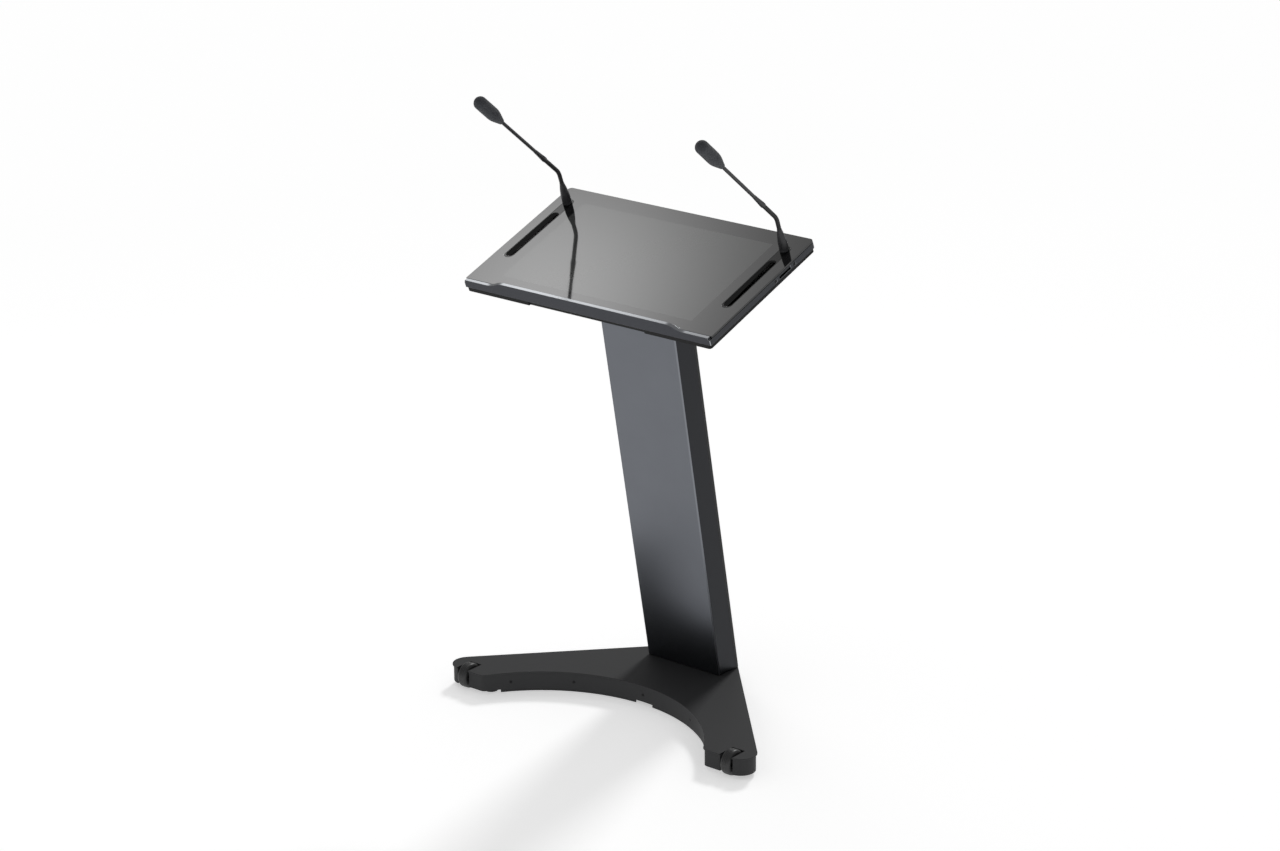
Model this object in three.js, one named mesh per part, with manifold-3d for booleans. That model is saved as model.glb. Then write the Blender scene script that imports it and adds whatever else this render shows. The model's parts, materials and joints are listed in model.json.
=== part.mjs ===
// Presentation lectern: a leaning column on a V-shaped base carries a tilted glass desk with a built-in
// display, two pen grooves and two gooseneck microphones.
// Millimetres, +Z up. The presenter stands on the -Y side and faces +Y, with +X to the right.
// The origin is on the floor, at the middle of the lectern's footprint. Positions along Y below are set
// out from a point FOOTPRINT_SHIFT behind it.

import * as THREE from "three";
import { mergeVertices } from "three/addons/utils/BufferGeometryUtils.js";
import Module from "manifold-3d";

const wasm = await Module();
wasm.setup();

// ---------------------------------------------------------------- driving dimensions

const GAP = 0.3; // clearance between pieces that touch
const FOOTPRINT_SHIFT = 1.9; // moves the whole lectern so that the origin is in the middle of its footprint

// Base: V-shaped in plan, bounded by the front ends, two straight side edges, a round tail and a
// concave arc towards the presenter. A thin top plate overhangs the rim, and a skirt behind the rim
// reaches down to the floor along the arc.
const BASE_TOP_Z = 51;
const PLATE_THICKNESS = 3;
const OVERHANG = 3;
const RIM_THICKNESS = 4;
const RIM_BOTTOM_Z = 10;
const BASE_FRONT_Y = -227.5;
const SIDE_SLOPE = 1.07; // how far a side edge runs back for each millimetre inwards
const SIDE_APEX_Y = 283.5; // where the two side edges would meet
const TAIL_RADIUS = 106.3;
const OUTER_CORNER_RADIUS = 36;
const INNER_CORNER_RADIUS = 15;
const ARC_RADIUS = 370.6;
const ARC_CENTER_Y = -416.9;

const SKIRT_THICKNESS = 3;
const SKIRT_BOTTOM_Z = 1.5;
const SKIRT_TOP_Z = 32;
const SKIRT_END_ANGLE = 37.5; // above the X axis, seen from the arc's centre
const CABLE_NOTCH_WIDTH = 48;
const CABLE_NOTCH_HEIGHT = 6.5;
const RIM_SCREW_X = [-280, -168, 0, 168, 280];
const RIM_SCREW_Z = 27;
const RIM_SCREW_RADIUS = 1.5;
const RIM_SCREW_HEAD_RADIUS = 3;
const RIM_SCREW_HEAD_HEIGHT = 0.9;
const RIM_SCREW_SINK = 0.3; // of the head below the rim's face

const BOSS_HEIGHT = 8; // under the top plate, where the column's flange is bolted
const BOSS_RADIUS = 8;
const BOSS_X = 107;
const BOSS_Y = 139;
const BOLT_RADIUS = 4;
const BOLT_HEAD_RADIUS = 6.5;
const BOLT_HEAD_HEIGHT = 8;
const FLANGE_THICKNESS = 8;
const FLANGE_FRONT_Y = 94;
const FLANGE_REAR_Y = 184;
const SPIGOT_WIDTH = 190; // stands in the column
const SPIGOT_DEPTH = 40;
const SPIGOT_WALL = 6;
const SPIGOT_HEIGHT = 120; // above the base, along the column
const FOOT_RADIUS = 17;
const FRONT_FOOT_TOP = 13.7;
const BALLAST_THICKNESS = 33;
const BALLAST_START_X = 150;

// Power inlet inside the base, facing the cable notch
const INLET_Y = 52;
const INLET_Z = 30;
const INLET_DEPTH = 26;
const ROCKER_X = 14.5;
const ROCKER_WIDTH = 12.6;
const ROCKER_TRAVEL = 14; // degrees between off and on

// Wheels: one in a slot in each front end
const WHEEL_X = 380.5;
const WHEEL_Y = -204.5;
const WHEEL_Z = 29.4;
const WHEEL_RADIUS = 29;
const WHEEL_WIDTH = 24.5;
const WHEEL_SLOT_WIDTH = 33.5;
const WHEEL_SLOT_REAR = -181; // in the top plate
const WHEEL_BAY_REAR = -172.5; // below it
const HUB_RADIUS = 19;
const HUB_BOSS_RADIUS = 9;
const AXLE_RADIUS = 4;

// Column
const COLUMN_WIDTH = 209;
const COLUMN_DEPTH = 68;
const COLUMN_LEAN = 10.57; // degrees from upright, towards the presenter
const COLUMN_FOOT_Y = 138; // axis of the column at the top of the base
const COLUMN_WALL = 3.5;
const COLUMN_BEVEL = 3;
const COLUMN_JOINT = 1.5; // dark gasket between column and base
const REAR_PANEL_DEPTH = 8;

// Desk
const DESK_WIDTH = 684;
const DESK_DEPTH = 384;
const DESK_TILT = 20.1; // degrees, low side towards the presenter
const DESK_CENTER_Y = -53.8;
const DESK_CENTER_Z = 1049.8; // glass surface
const DESK_REAR_CORNER = 10;
const DESK_FRONT_CORNER = 4;
const GLASS_THICKNESS = 4;
const GASKET_THICKNESS = 0.9;
const FRAME_BOTTOM = -18.5; // below the glass surface, square to it
const SHELL_BOTTOM = -28.8;
const FRAME_WALL = 3;
const FRAME_FLANGE = 22;
const FRAME_FLOOR = 2;
const SHELF_THICKNESS = 3;

// Paper stop along the presenter's edge
const LIP_THICKNESS = 9;
const LIP_HEIGHT = 11;
const LIP_TOP_HALF_WIDTH = 225;
const LIP_RAMP = 50;

// Underside shell and bracket
const SHELL_SIDE_INSET = 3.5; // from the band's outside
const SHELL_FRONT_INSET = 1;
const SHELL_REAR_INSET = 3;
const SHELL_WALL = 3;
const SHELL_FLOOR = 2.5;
const SETBACK_HALF_WIDTH = 160;
const SETBACK_DEPTH = 4.7;
const CABLE_HOLE_RADIUS = 9; // through the shell's floor and the bracket
const BRACKET_THICKNESS = 6;
const BRACKET_WIDTH = 200;
const BRACKET_DEPTH = 140;

// Display, 23.8 inch, 16:9
const DISPLAY_WIDTH = 545;
const DISPLAY_DEPTH = 314;
const DISPLAY_THICKNESS = 12;
const DISPLAY_SHIFT = -1.4;

// Pen trays and microphones share a line on each side of the display
const TRAY_X = 303;
const TRAY_WIDTH = 24;
const TRAY_FLANGE = 6; // how much wider the tray is below the glass
const TRAY_BOTTOM = -11;
const SOCKET_RADIUS = 10.5; // under the tray, for the microphone's stub
const SOCKET_BOTTOM = -21;
const TRAY_FRONT = -86;
const TRAY_REAR = 150;
const GROOVE_RADIUS = 11;
const GROOVE_AXIS_HEIGHT = 2.5; // above the glass
const GROOVE_FRONT = -82;
const GROOVE_REAR = 97;
const MIC_Y = 134.7;
const MIC_BEND_HEIGHT = 82.9;
const MIC_LEAN = 30.7; // degrees from the desk's normal, towards the presenter
const MIC_STUB_RADIUS = 6;
const MIC_STUB_BOTTOM = -17;
const MIC_BASE_RADIUS = 10.6;
const MIC_BASE_TOP = 56;
const NECK_RADIUS = 4.9;
const NECK_LOWER_TOP = 75;
const NECK_END = 59; // from the bend
const COLLAR_RADIUS = 6;
const COLLAR_TIP_RADIUS = 4.3;
const ROD_START = 100; // from the bend
const ROD_END = 234;
const ROD_RADIUS = 3.9;
const CAPSULE_RADIUS = 5.5;
const CAPSULE_LENGTH = 60;
const FOAM_START = 240; // from the bend
const FOAM_END = 340;
const CAPSULE_CONE = 8; // length of the cone between the rod and the capsule
const FOAM_RADIUS = 15.1;
const NECK_PIVOT = 31; // from the first bend to the sideways bend

// Ports in the right-hand side of the desk frame
const PORT_CENTER = 79.5; // from the desk's centre towards the rear
const PORT_LEVEL = -12.6;
const PORT_SLOT_LENGTH = 41;
const PORT_SLOT_HEIGHT = 4.8;
const PORT_SCREW_SPACING = 68.6;
const PORT_SCREW_RADIUS = 2;
const PORT_SCREW_HEAD_RADIUS = 4.2;
const PORT_SCREW_SINK = 1.5; // depth of the head's recess

// ---------------------------------------------------------------- geometry helpers

const rad = THREE.MathUtils.degToRad;
const deg = THREE.MathUtils.radToDeg;

/** Points of an arc, from one angle to another in degrees, at most `step` degrees apart. */
function arc(cx, cy, radius, start, end, step = 15) {
  const count = Math.max(1, Math.ceil(Math.abs(end - start) / step));
  const points = [];
  for (let i = 0; i <= count; i++) {
    const angle = rad(start + ((end - start) * i) / count);
    points.push(new THREE.Vector2(cx + radius * Math.cos(angle), cy + radius * Math.sin(angle)));
  }
  return points;
}

/** Outline of a rectangle with round corners, which may be tighter at the front. */
function roundedRectangle(width, depth, radius, cx = 0, cy = 0, front = radius) {
  const x = width / 2;
  const y = depth / 2;
  return [
    ...arc(cx + x - front, cy - y + front, front, -90, 0),
    ...arc(cx + x - radius, cy + y - radius, radius, 0, 90),
    ...arc(cx - x + radius, cy + y - radius, radius, 90, 180),
    ...arc(cx - x + front, cy - y + front, front, 180, 270),
  ];
}

/** Upright prism of an outline, between two heights. */
function prism(outline, bottom, top) {
  const geometry = new THREE.ExtrudeGeometry(new THREE.Shape(outline), {
    depth: top - bottom,
    bevelEnabled: false,
  });
  return geometry.translate(0, 0, bottom);
}

/** Box between two corners. */
function box([x0, y0, z0], [x1, y1, z1]) {
  const geometry = new THREE.BoxGeometry(x1 - x0, y1 - y0, z1 - z0);
  return geometry.translate((x0 + x1) / 2, (y0 + y1) / 2, (z0 + z1) / 2);
}

/** Solid of revolution about Z, from a profile of [radius, height] pairs that runs upwards. */
function turned(profile, segments = 24) {
  const points = profile.map(([radius, height]) => new THREE.Vector2(radius, height));
  return new THREE.LatheGeometry(points, segments).rotateX(Math.PI / 2);
}

/** Round bar along Z. */
function bar(radius, bottom, top, segments = 24) {
  return turned([[0, bottom], [radius, bottom], [radius, top], [0, top]], segments);
}

/** A closed geometry as a solid that can be joined and cut. */
function solid(geometry) {
  const bare = geometry.clone();
  bare.deleteAttribute("normal");
  bare.deleteAttribute("uv");
  const merged = mergeVertices(bare, 1e-4);
  return new wasm.Manifold(
    new wasm.Mesh({
      numProp: 3,
      vertProperties: merged.attributes.position.array,
      triVerts: new Uint32Array(merged.index.array),
    }),
  );
}

/** A solid back as a geometry. */
function shell(body) {
  const { vertProperties, triVerts } = body.getMesh();
  const geometry = new THREE.BufferGeometry();
  geometry.setAttribute("position", new THREE.BufferAttribute(vertProperties, 3));
  geometry.setIndex(new THREE.BufferAttribute(triVerts, 1));
  return geometry;
}

const join = (...geometries) => shell(geometries.map(solid).reduce((a, b) => a.add(b)));
const cut = (body, ...tools) => shell(tools.map(solid).reduce((a, b) => a.subtract(b), solid(body)));
const common = (a, b) => shell(solid(a).intersect(solid(b)));

/** A finish: colour, roughness and metalness. */
function finish(color, roughness, metalness) {
  return new THREE.MeshStandardMaterial({ color, roughness, metalness });
}

function place(parent, name, geometry, material) {
  const mesh = new THREE.Mesh(geometry, material);
  mesh.name = name;
  parent.add(mesh);
  return mesh;
}

const PAINTED = finish(0x34353a, 0.45, 0.3);
const ANODISED = finish(0x5f6268, 0.35, 0.8);
const BLACK_PLASTIC = finish(0x141416, 0.6, 0);
const GLASS = finish(0x6a6c6f, 0.08, 0);
const RUBBER = finish(0x1a1a1a, 0.85, 0);
const STEEL = finish(0x9a9c9f, 0.4, 0.9);
const FOAM = finish(0x38393b, 0.95, 0);
const BOARD = finish(0x1f4d2e, 0.6, 0);

// ---------------------------------------------------------------- base

const SIDE_LENGTH = Math.hypot(1, SIDE_SLOPE);
const SIDE_ANGLE = deg(Math.atan2(1, SIDE_SLOPE)); // direction in which the right side edge faces
const TAIL_Y = SIDE_APEX_Y - TAIL_RADIUS * SIDE_LENGTH;
const OUTER_CORNER_Y = BASE_FRONT_Y + OUTER_CORNER_RADIUS;
const OUTER_CORNER_X = (SIDE_APEX_Y - OUTER_CORNER_Y - OUTER_CORNER_RADIUS * SIDE_LENGTH) / SIDE_SLOPE;
const INNER_CORNER_Y = BASE_FRONT_Y + INNER_CORNER_RADIUS;
const INNER_CORNER_X = Math.sqrt(
  (ARC_RADIUS + INNER_CORNER_RADIUS) ** 2 - (INNER_CORNER_Y - ARC_CENTER_Y) ** 2,
);

/** Plan of the base, moved inwards by `inset` all round. Every corner keeps its centre. */
function basePlan(inset = 0) {
  const contact = deg(Math.atan2(INNER_CORNER_Y - ARC_CENTER_Y, INNER_CORNER_X));
  const inner = INNER_CORNER_RADIUS - inset;
  const outer = OUTER_CORNER_RADIUS - inset;
  return [
    ...arc(OUTER_CORNER_X, OUTER_CORNER_Y, outer, -90, SIDE_ANGLE),
    ...arc(0, TAIL_Y, TAIL_RADIUS - inset, SIDE_ANGLE, 180 - SIDE_ANGLE, 8),
    ...arc(-OUTER_CORNER_X, OUTER_CORNER_Y, outer, 180 - SIDE_ANGLE, 270),
    ...arc(-INNER_CORNER_X, INNER_CORNER_Y, inner, 270, 360 - contact),
    ...arc(0, ARC_CENTER_Y, ARC_RADIUS + inset, 180 - contact, contact, 3.5),
    ...arc(INNER_CORNER_X, INNER_CORNER_Y, inner, 180 + contact, 270),
  ];
}

/** Box over a wheel's slot, open to the front, with room `margin` more at the sides. */
function slotBox(side, rear, bottom, top, margin = 0) {
  const half = WHEEL_SLOT_WIDTH / 2 + margin;
  return box([side * WHEEL_X - half, BASE_FRONT_Y - 10, bottom], [side * WHEEL_X + half, rear, top]);
}

/** Turns geometry made along +Z so that it points into the base from the arc, at a given x. */
function ontoArc(geometry, x) {
  const angle = Math.acos(x / ARC_RADIUS);
  geometry.rotateX(-Math.PI / 2); // +Z now points to +Y
  geometry.rotateZ(angle - Math.PI / 2);
  return geometry.translate(x, ARC_CENTER_Y + ARC_RADIUS * Math.sin(angle), RIM_SCREW_Z);
}

const PLATE_BOTTOM = BASE_TOP_Z - PLATE_THICKNESS;
const FLANGE_TOP = PLATE_BOTTOM - BOSS_HEIGHT - GAP;
const REAR_FOOT_TOP = FLANGE_TOP - FLANGE_THICKNESS - GAP;
const FEET = [
  ["front_left", -330, -186, FRONT_FOOT_TOP],
  ["front_right", 330, -186, FRONT_FOOT_TOP],
  ["rear_left", -70, 165, REAR_FOOT_TOP],
  ["rear_right", 70, 165, REAR_FOOT_TOP],
];
const COLUMN_FRAME = new THREE.Matrix4()
  .makeTranslation(0, COLUMN_FOOT_Y, BASE_TOP_Z)
  .multiply(new THREE.Matrix4().makeRotationX(rad(COLUMN_LEAN)));

/** Block of the column's slant, centred on its axis. */
function leaningBlock(width, depth, bottom, top) {
  return box([-width / 2, -depth / 2, bottom], [width / 2, depth / 2, top]).applyMatrix4(COLUMN_FRAME);
}

/** Top plate, with two slots for the wheels, the opening for the column and two threaded bosses. */
function baseTopPlate() {
  const plate = prism(basePlan(), PLATE_BOTTOM, BASE_TOP_Z);
  const bosses = [-1, 1].map((side) =>
    bar(BOSS_RADIUS, PLATE_BOTTOM - BOSS_HEIGHT, PLATE_BOTTOM + 1, 20).translate(side * BOSS_X, BOSS_Y, 0),
  );
  const threads = [-1, 1].map((side) =>
    bar(BOLT_RADIUS + GAP, 0, PLATE_BOTTOM, 16).translate(side * BOSS_X, BOSS_Y, 0),
  );
  const slots = [-1, 1].map((side) => slotBox(side, WHEEL_SLOT_REAR, 0, BASE_TOP_Z + 10));
  const opening = leaningBlock(SPIGOT_WIDTH + 2, SPIGOT_DEPTH + 2, -30, 30);
  return cut(join(plate, ...bosses), opening, ...slots, ...threads);
}

/** Wall under the edge of the top plate, with a bay round each wheel that carries its axle. */
function baseRim() {
  const top = PLATE_BOTTOM - GAP;
  const filled = prism(basePlan(OVERHANG), RIM_BOTTOM_Z, top);
  const walls = cut(filled, prism(basePlan(OVERHANG + RIM_THICKNESS), RIM_BOTTOM_Z - 1, top + 1));
  const bays = [];
  const tools = [];
  for (const side of [-1, 1]) {
    bays.push(common(filled, slotBox(side, WHEEL_BAY_REAR + RIM_THICKNESS, 0, top, RIM_THICKNESS)));
    tools.push(slotBox(side, WHEEL_BAY_REAR, 0, top + 1));
    const reach = WHEEL_SLOT_WIDTH / 2 + RIM_THICKNESS + 1;
    tools.push(onAxle(bar(AXLE_RADIUS + GAP, -reach, reach), side));
  }
  for (const x of RIM_SCREW_X) {
    const seat = OVERHANG + RIM_SCREW_SINK + RIM_SCREW_HEAD_HEIGHT + GAP;
    tools.push(ontoArc(bar(RIM_SCREW_HEAD_RADIUS + GAP, 0, seat, 16), x));
    tools.push(ontoArc(bar(RIM_SCREW_RADIUS + GAP, 0, OVERHANG + RIM_THICKNESS + 1, 12), x));
  }
  return cut(join(walls, ...bays), ...tools);
}

/** Sheet behind the rim along the arc, with the notch that the power cord leaves through. */
function arcSkirt() {
  const face = ARC_RADIUS + OVERHANG + RIM_THICKNESS + GAP;
  const back = face + SKIRT_THICKNESS;
  const end = SKIRT_END_ANGLE;
  const strip = [
    ...arc(0, ARC_CENTER_Y, back, end, 180 - end, 3.5),
    ...arc(0, ARC_CENTER_Y, face, 180 - end, end, 3.5),
  ];
  const half = CABLE_NOTCH_WIDTH / 2;
  const middle = ARC_CENTER_Y + face;
  const notch = box([-half, middle - 10, 0], [half, middle + 20, SKIRT_BOTTOM_Z + CABLE_NOTCH_HEIGHT]);
  const holes = RIM_SCREW_X.map((x) => ontoArc(bar(RIM_SCREW_RADIUS + GAP, 0, 20, 12), x));
  return cut(prism(strip, SKIRT_BOTTOM_Z, SKIRT_TOP_Z), notch, ...holes);
}

/** Steel ballast under the top plate, in one arm of the base. */
function ballast(side) {
  const inner = side * BALLAST_START_X;
  const outer = side * (WHEEL_X - WHEEL_SLOT_WIDTH / 2 - RIM_THICKNESS - 2);
  const bottom = FRONT_FOOT_TOP + GAP;
  const plan = basePlan(OVERHANG + RIM_THICKNESS + GAP + SKIRT_THICKNESS + 0.7);
  return common(
    prism(plan, bottom, bottom + BALLAST_THICKNESS),
    box([Math.min(inner, outer), -300, 0], [Math.max(inner, outer), 300, BASE_TOP_Z]),
  );
}

/** Flange below the top plate with a leaning spigot that reaches up into the column. */
function columnAnchor() {
  const bottom = FLANGE_TOP - FLANGE_THICKNESS;
  const margin = 10; // of metal round the bolts, and clear of the rim
  const plate = common(
    prism(basePlan(margin), bottom, FLANGE_TOP),
    box([-BOSS_X - margin, FLANGE_FRONT_Y, 0], [BOSS_X + margin, FLANGE_REAR_Y, BASE_TOP_Z]),
  );
  const spigot = common(
    leaningBlock(SPIGOT_WIDTH, SPIGOT_DEPTH, -40, SPIGOT_HEIGHT),
    box([-SPIGOT_WIDTH, 0, bottom], [SPIGOT_WIDTH, 300, 400]),
  );
  const bore = leaningBlock(SPIGOT_WIDTH - 2 * SPIGOT_WALL, SPIGOT_DEPTH - 2 * SPIGOT_WALL, -60, 200);
  const holes = [-1, 1].map((side) =>
    bar(BOLT_RADIUS + GAP, 0, BASE_TOP_Z, 16).translate(side * BOSS_X, BOSS_Y, 0),
  );
  return cut(join(plate, spigot), bore, ...holes);
}

/** Bolt that goes up through the flange into a boss of the top plate. */
function flangeBolt() {
  const seat = FLANGE_TOP - FLANGE_THICKNESS - GAP;
  const head = seat - BOLT_HEAD_HEIGHT;
  const tip = PLATE_BOTTOM - 1;
  const shank = [[BOLT_RADIUS, seat], [BOLT_RADIUS, tip], [0, tip]];
  return turned([[0, head], [BOLT_HEAD_RADIUS, head], [BOLT_HEAD_RADIUS, seat], ...shank], 16);
}

/** Round rubber foot on a stem of the given height. */
function foot(top) {
  const pad = 9;
  const stem = 8;
  const sole = [[0, 0], [FOOT_RADIUS - 2, 0], [FOOT_RADIUS, 2.5], [FOOT_RADIUS, pad]];
  return turned([...sole, [stem, pad], [stem, top], [0, top]], 20);
}

/** Appliance inlet: a bezel and a body with a socket on the left and a rocker recess on the right. */
function powerInlet() {
  const face = INLET_Y;
  const bezel = { x: 25, z: 15 }; // half sizes
  const recess = { x: 6.8, z: 9.8 };
  const rim = 2; // of the bezel round the body
  const body = join(
    box([-bezel.x, face, INLET_Z - bezel.z], [bezel.x, face + rim + 0.5, INLET_Z + bezel.z]),
    box(
      [rim - bezel.x, face + rim, INLET_Z + rim - bezel.z],
      [bezel.x - rim, face + INLET_DEPTH, PLATE_BOTTOM - GAP],
    ),
  );
  const socket = roundedRectangle(24, 16.5, 3, -10, INLET_Z);
  const hollow = prism(socket, -face - 16, -face + 1).rotateX(Math.PI / 2);
  const rockerRecess = box(
    [ROCKER_X - recess.x, face - 1, INLET_Z - recess.z],
    [ROCKER_X + recess.x, face + 10, INLET_Z + recess.z],
  );
  return cut(body, hollow, rockerRecess);
}

/** Rocker: two faces that meet in a shallow valley, tipped to the off side. It turns about X. */
function rocker() {
  const half = [[0, -1.6], [9, -3.2], [8, 2], [3, 6]]; // (Z, Y) of the finished piece, from the valley down
  const mirrored = half.slice(1).reverse().map(([z, y]) => [-z, y]);
  const outline = [...half, ...mirrored].map((p) => new THREE.Vector2(...p));
  const block = prism(outline, -ROCKER_WIDTH / 2, ROCKER_WIDTH / 2);
  block.applyMatrix4(new THREE.Matrix4().set(0, 0, -1, 0, 0, 1, 0, 0, 1, 0, 0, 0, 0, 0, 0, 1));
  return block.rotateX(rad(ROCKER_TRAVEL / 2));
}

/** Screw through the rim and the skirt. Its head comes first, towards the presenter. */
function rimScrew() {
  const head = OVERHANG + RIM_SCREW_SINK;
  const seat = head + RIM_SCREW_HEAD_HEIGHT;
  const tip = OVERHANG + RIM_THICKNESS + SKIRT_THICKNESS;
  const shank = [[RIM_SCREW_RADIUS, seat], [RIM_SCREW_RADIUS, tip], [0, tip]];
  return turned([[0, head], [RIM_SCREW_HEAD_RADIUS, head], [RIM_SCREW_HEAD_RADIUS, seat], ...shank], 12);
}

function buildBase(group) {
  place(group, "base_top_plate", baseTopPlate(), PAINTED);
  place(group, "base_rim", baseRim(), PAINTED);
  place(group, "arc_skirt", arcSkirt(), PAINTED);
  place(group, "left_ballast", ballast(-1), STEEL);
  place(group, "right_ballast", ballast(1), STEEL);
  place(group, "column_anchor", columnAnchor(), STEEL);
  for (const [label, side] of [["left", -1], ["right", 1]]) {
    place(group, `${label}_flange_bolt`, flangeBolt(), STEEL).position.set(side * BOSS_X, BOSS_Y, 0);
  }
  for (const [label, x, y, top] of FEET) {
    place(group, `${label}_foot`, foot(top), RUBBER).position.set(x, y, 0);
  }
  RIM_SCREW_X.forEach((x, i) => {
    place(group, `rim_screw_${i + 1}`, ontoArc(rimScrew(), x), BLACK_PLASTIC);
  });
  place(group, "power_inlet", powerInlet(), BLACK_PLASTIC);
  place(group, "power_rocker", rocker(), BLACK_PLASTIC).position.set(ROCKER_X, INLET_Y + 2, INLET_Z);
}

/** Lays a piece made along +Z on the axis of a wheel. */
function onAxle(geometry, side) {
  return geometry.rotateY(Math.PI / 2).translate(side * WHEEL_X, WHEEL_Y, WHEEL_Z);
}

/** Wheel turning about X: a plastic hub on a fixed axle and a rubber tyre with round shoulders. */
function buildWheel(group, side, label) {
  const wheel = new THREE.Group();
  wheel.position.set(side * WHEEL_X, WHEEL_Y, WHEEL_Z);
  wheel.rotation.y = Math.PI / 2;
  group.add(wheel);

  const half = WHEEL_WIDTH / 2;
  const shoulder = 5;
  const tread = WHEEL_RADIUS - shoulder;
  const upper = arc(tread, half - shoulder, shoulder, 0, 90, 22.5).map((p) => [p.x, p.y]);
  const lower = upper.map(([r, z]) => [r, -z]).reverse();
  const bore = HUB_RADIUS + GAP;
  const tyre = turned([[bore, half], [bore, -half], ...lower, ...upper, [bore, half]], 32);
  place(wheel, `${label}_tyre`, tyre, RUBBER);

  const boss = half + 1.5;
  const face = half - 2;
  const hole = AXLE_RADIUS + 0.35;
  const left = [[hole, -boss], [HUB_BOSS_RADIUS, -boss], [HUB_BOSS_RADIUS, -face], [HUB_RADIUS, -face]];
  const right = left.map(([r, z]) => [r, -z]).reverse();
  const hub = turned([[hole, boss], ...left, ...right], 32);
  place(wheel, `${label}_wheel_hub`, hub, BLACK_PLASTIC);

  const reach = WHEEL_SLOT_WIDTH / 2 + 3.5;
  place(wheel, `${label}_wheel_axle`, bar(AXLE_RADIUS, -reach, reach), STEEL);
}

// ---------------------------------------------------------------- column

const DESK_FRAME = new THREE.Matrix4()
  .makeTranslation(0, DESK_CENTER_Y, DESK_CENTER_Z)
  .multiply(new THREE.Matrix4().makeRotationX(rad(DESK_TILT)));
const COLUMN_LENGTH = 1050; // before it is trimmed to the desk

/** Everything above a plane parallel to the desk, at a height measured from the glass. */
function aboveDeskPlane(height) {
  return box([-400, -500, height], [400, 500, height + 400]).applyMatrix4(DESK_FRAME);
}

/** Everything below a level height. */
function belowLevel(z) {
  return box([-400, -400, z - 400], [400, 600, z]);
}

const COLUMN_FOOT_Z = BASE_TOP_Z + COLUMN_JOINT + 2 * GAP;
const BRACKET_BOTTOM = SHELL_BOTTOM - GAP - BRACKET_THICKNESS;

/** Trims a piece of the column to the base and to the bracket under the desk. */
function trimmed(piece, headroom = GAP) {
  return cut(piece, belowLevel(COLUMN_FOOT_Z), aboveDeskPlane(BRACKET_BOTTOM - headroom));
}

/** Extrusion that forms the column's front and sides, open at the back, with bevelled front edges. */
function columnProfile() {
  const x = COLUMN_WIDTH / 2;
  const front = -COLUMN_DEPTH / 2;
  const rear = COLUMN_DEPTH / 2 - REAR_PANEL_DEPTH - GAP;
  const b = COLUMN_BEVEL;
  const outline = [[-x, rear], [-x, front + b], [-x + b, front], [x - b, front], [x, front + b], [x, rear]];
  const outer = prism(outline.map((p) => new THREE.Vector2(...p)), -30, COLUMN_LENGTH);
  const inner = box(
    [-x + COLUMN_WALL, front + COLUMN_WALL, -40],
    [x - COLUMN_WALL, rear + 10, COLUMN_LENGTH + 10],
  );
  return trimmed(cut(outer, inner).applyMatrix4(COLUMN_FRAME));
}

/** Shallow channel that closes the back of the column. */
function columnRearPanel() {
  const x = COLUMN_WIDTH / 2;
  const rear = COLUMN_DEPTH / 2;
  const front = rear - REAR_PANEL_DEPTH;
  const wall = 3;
  const outer = box([-x, front, -40], [x, rear, COLUMN_LENGTH]);
  const inner = box([-x + wall, front - 5, -50], [x - wall, rear - wall, COLUMN_LENGTH + 10]);
  return trimmed(cut(outer, inner).applyMatrix4(COLUMN_FRAME));
}

/** Dark gasket that stands the column off the base. */
function columnGasket() {
  const margin = 2;
  const slab = box(
    [-COLUMN_WIDTH / 2 + margin, 0, BASE_TOP_Z + GAP],
    [COLUMN_WIDTH / 2 - margin, 300, BASE_TOP_Z + GAP + COLUMN_JOINT],
  );
  const footprint = leaningBlock(COLUMN_WIDTH, COLUMN_DEPTH - 2 * margin, -50, 50);
  const opening = leaningBlock(SPIGOT_WIDTH + 2, SPIGOT_DEPTH + 2, -50, 50);
  return cut(common(slab, footprint), opening);
}

/** Block in the top of the column that the desk bracket is fixed to. */
function columnHead() {
  const width = COLUMN_WIDTH - 2 * COLUMN_WALL - 2 * GAP;
  const depth = SPIGOT_DEPTH;
  const wall = 12;
  const block = leaningBlock(width, depth, COLUMN_LENGTH - 160, COLUMN_LENGTH);
  const bore = leaningBlock(width - 2 * wall, depth - 2 * wall, 0, COLUMN_LENGTH + 50);
  return trimmed(cut(block, bore));
}

function powerSupply() {
  const front = -COLUMN_DEPTH / 2 + COLUMN_WALL + GAP;
  const width = 110;
  const depth = 34;
  const bottom = 330;
  const top = 560;
  return box([-width / 2, front, bottom], [width / 2, front + depth, top]).applyMatrix4(COLUMN_FRAME);
}

/** Round cable along a smooth path of points. */
function cable(points, radius, steps) {
  const path = new THREE.CatmullRomCurve3(points.map((p) => new THREE.Vector3(...p)));
  const section = new THREE.Shape(arc(0, 0, radius, 0, 315, 45));
  return new THREE.ExtrudeGeometry(section, { steps, bevelEnabled: false, extrudePath: path });
}

/** Points from the back of the inlet, under the flange, up its bore to the foot of the power supply. */
function mainsRoute() {
  const start = [0, INLET_Y + INLET_DEPTH + GAP, 24];
  const underFlange = [[0, 100, 22], [0, 131, 24], [0, 141, 45]];
  const upColumn = [[0, 122, 145], [0, 84, 325], [0, 69, 372]];
  return [start, ...underFlange, ...upColumn];
}

function buildColumn(group) {
  place(group, "column_profile", columnProfile(), ANODISED);
  place(group, "column_rear_panel", columnRearPanel(), PAINTED);
  place(group, "column_gasket", columnGasket(), RUBBER);
  place(group, "column_head", columnHead(), STEEL);
  place(group, "power_supply", powerSupply(), BLACK_PLASTIC);
  place(group, "mains_cable", cable(mainsRoute(), 3.5, 28), RUBBER);
}

// ---------------------------------------------------------------- desk, in its own frame

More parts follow.
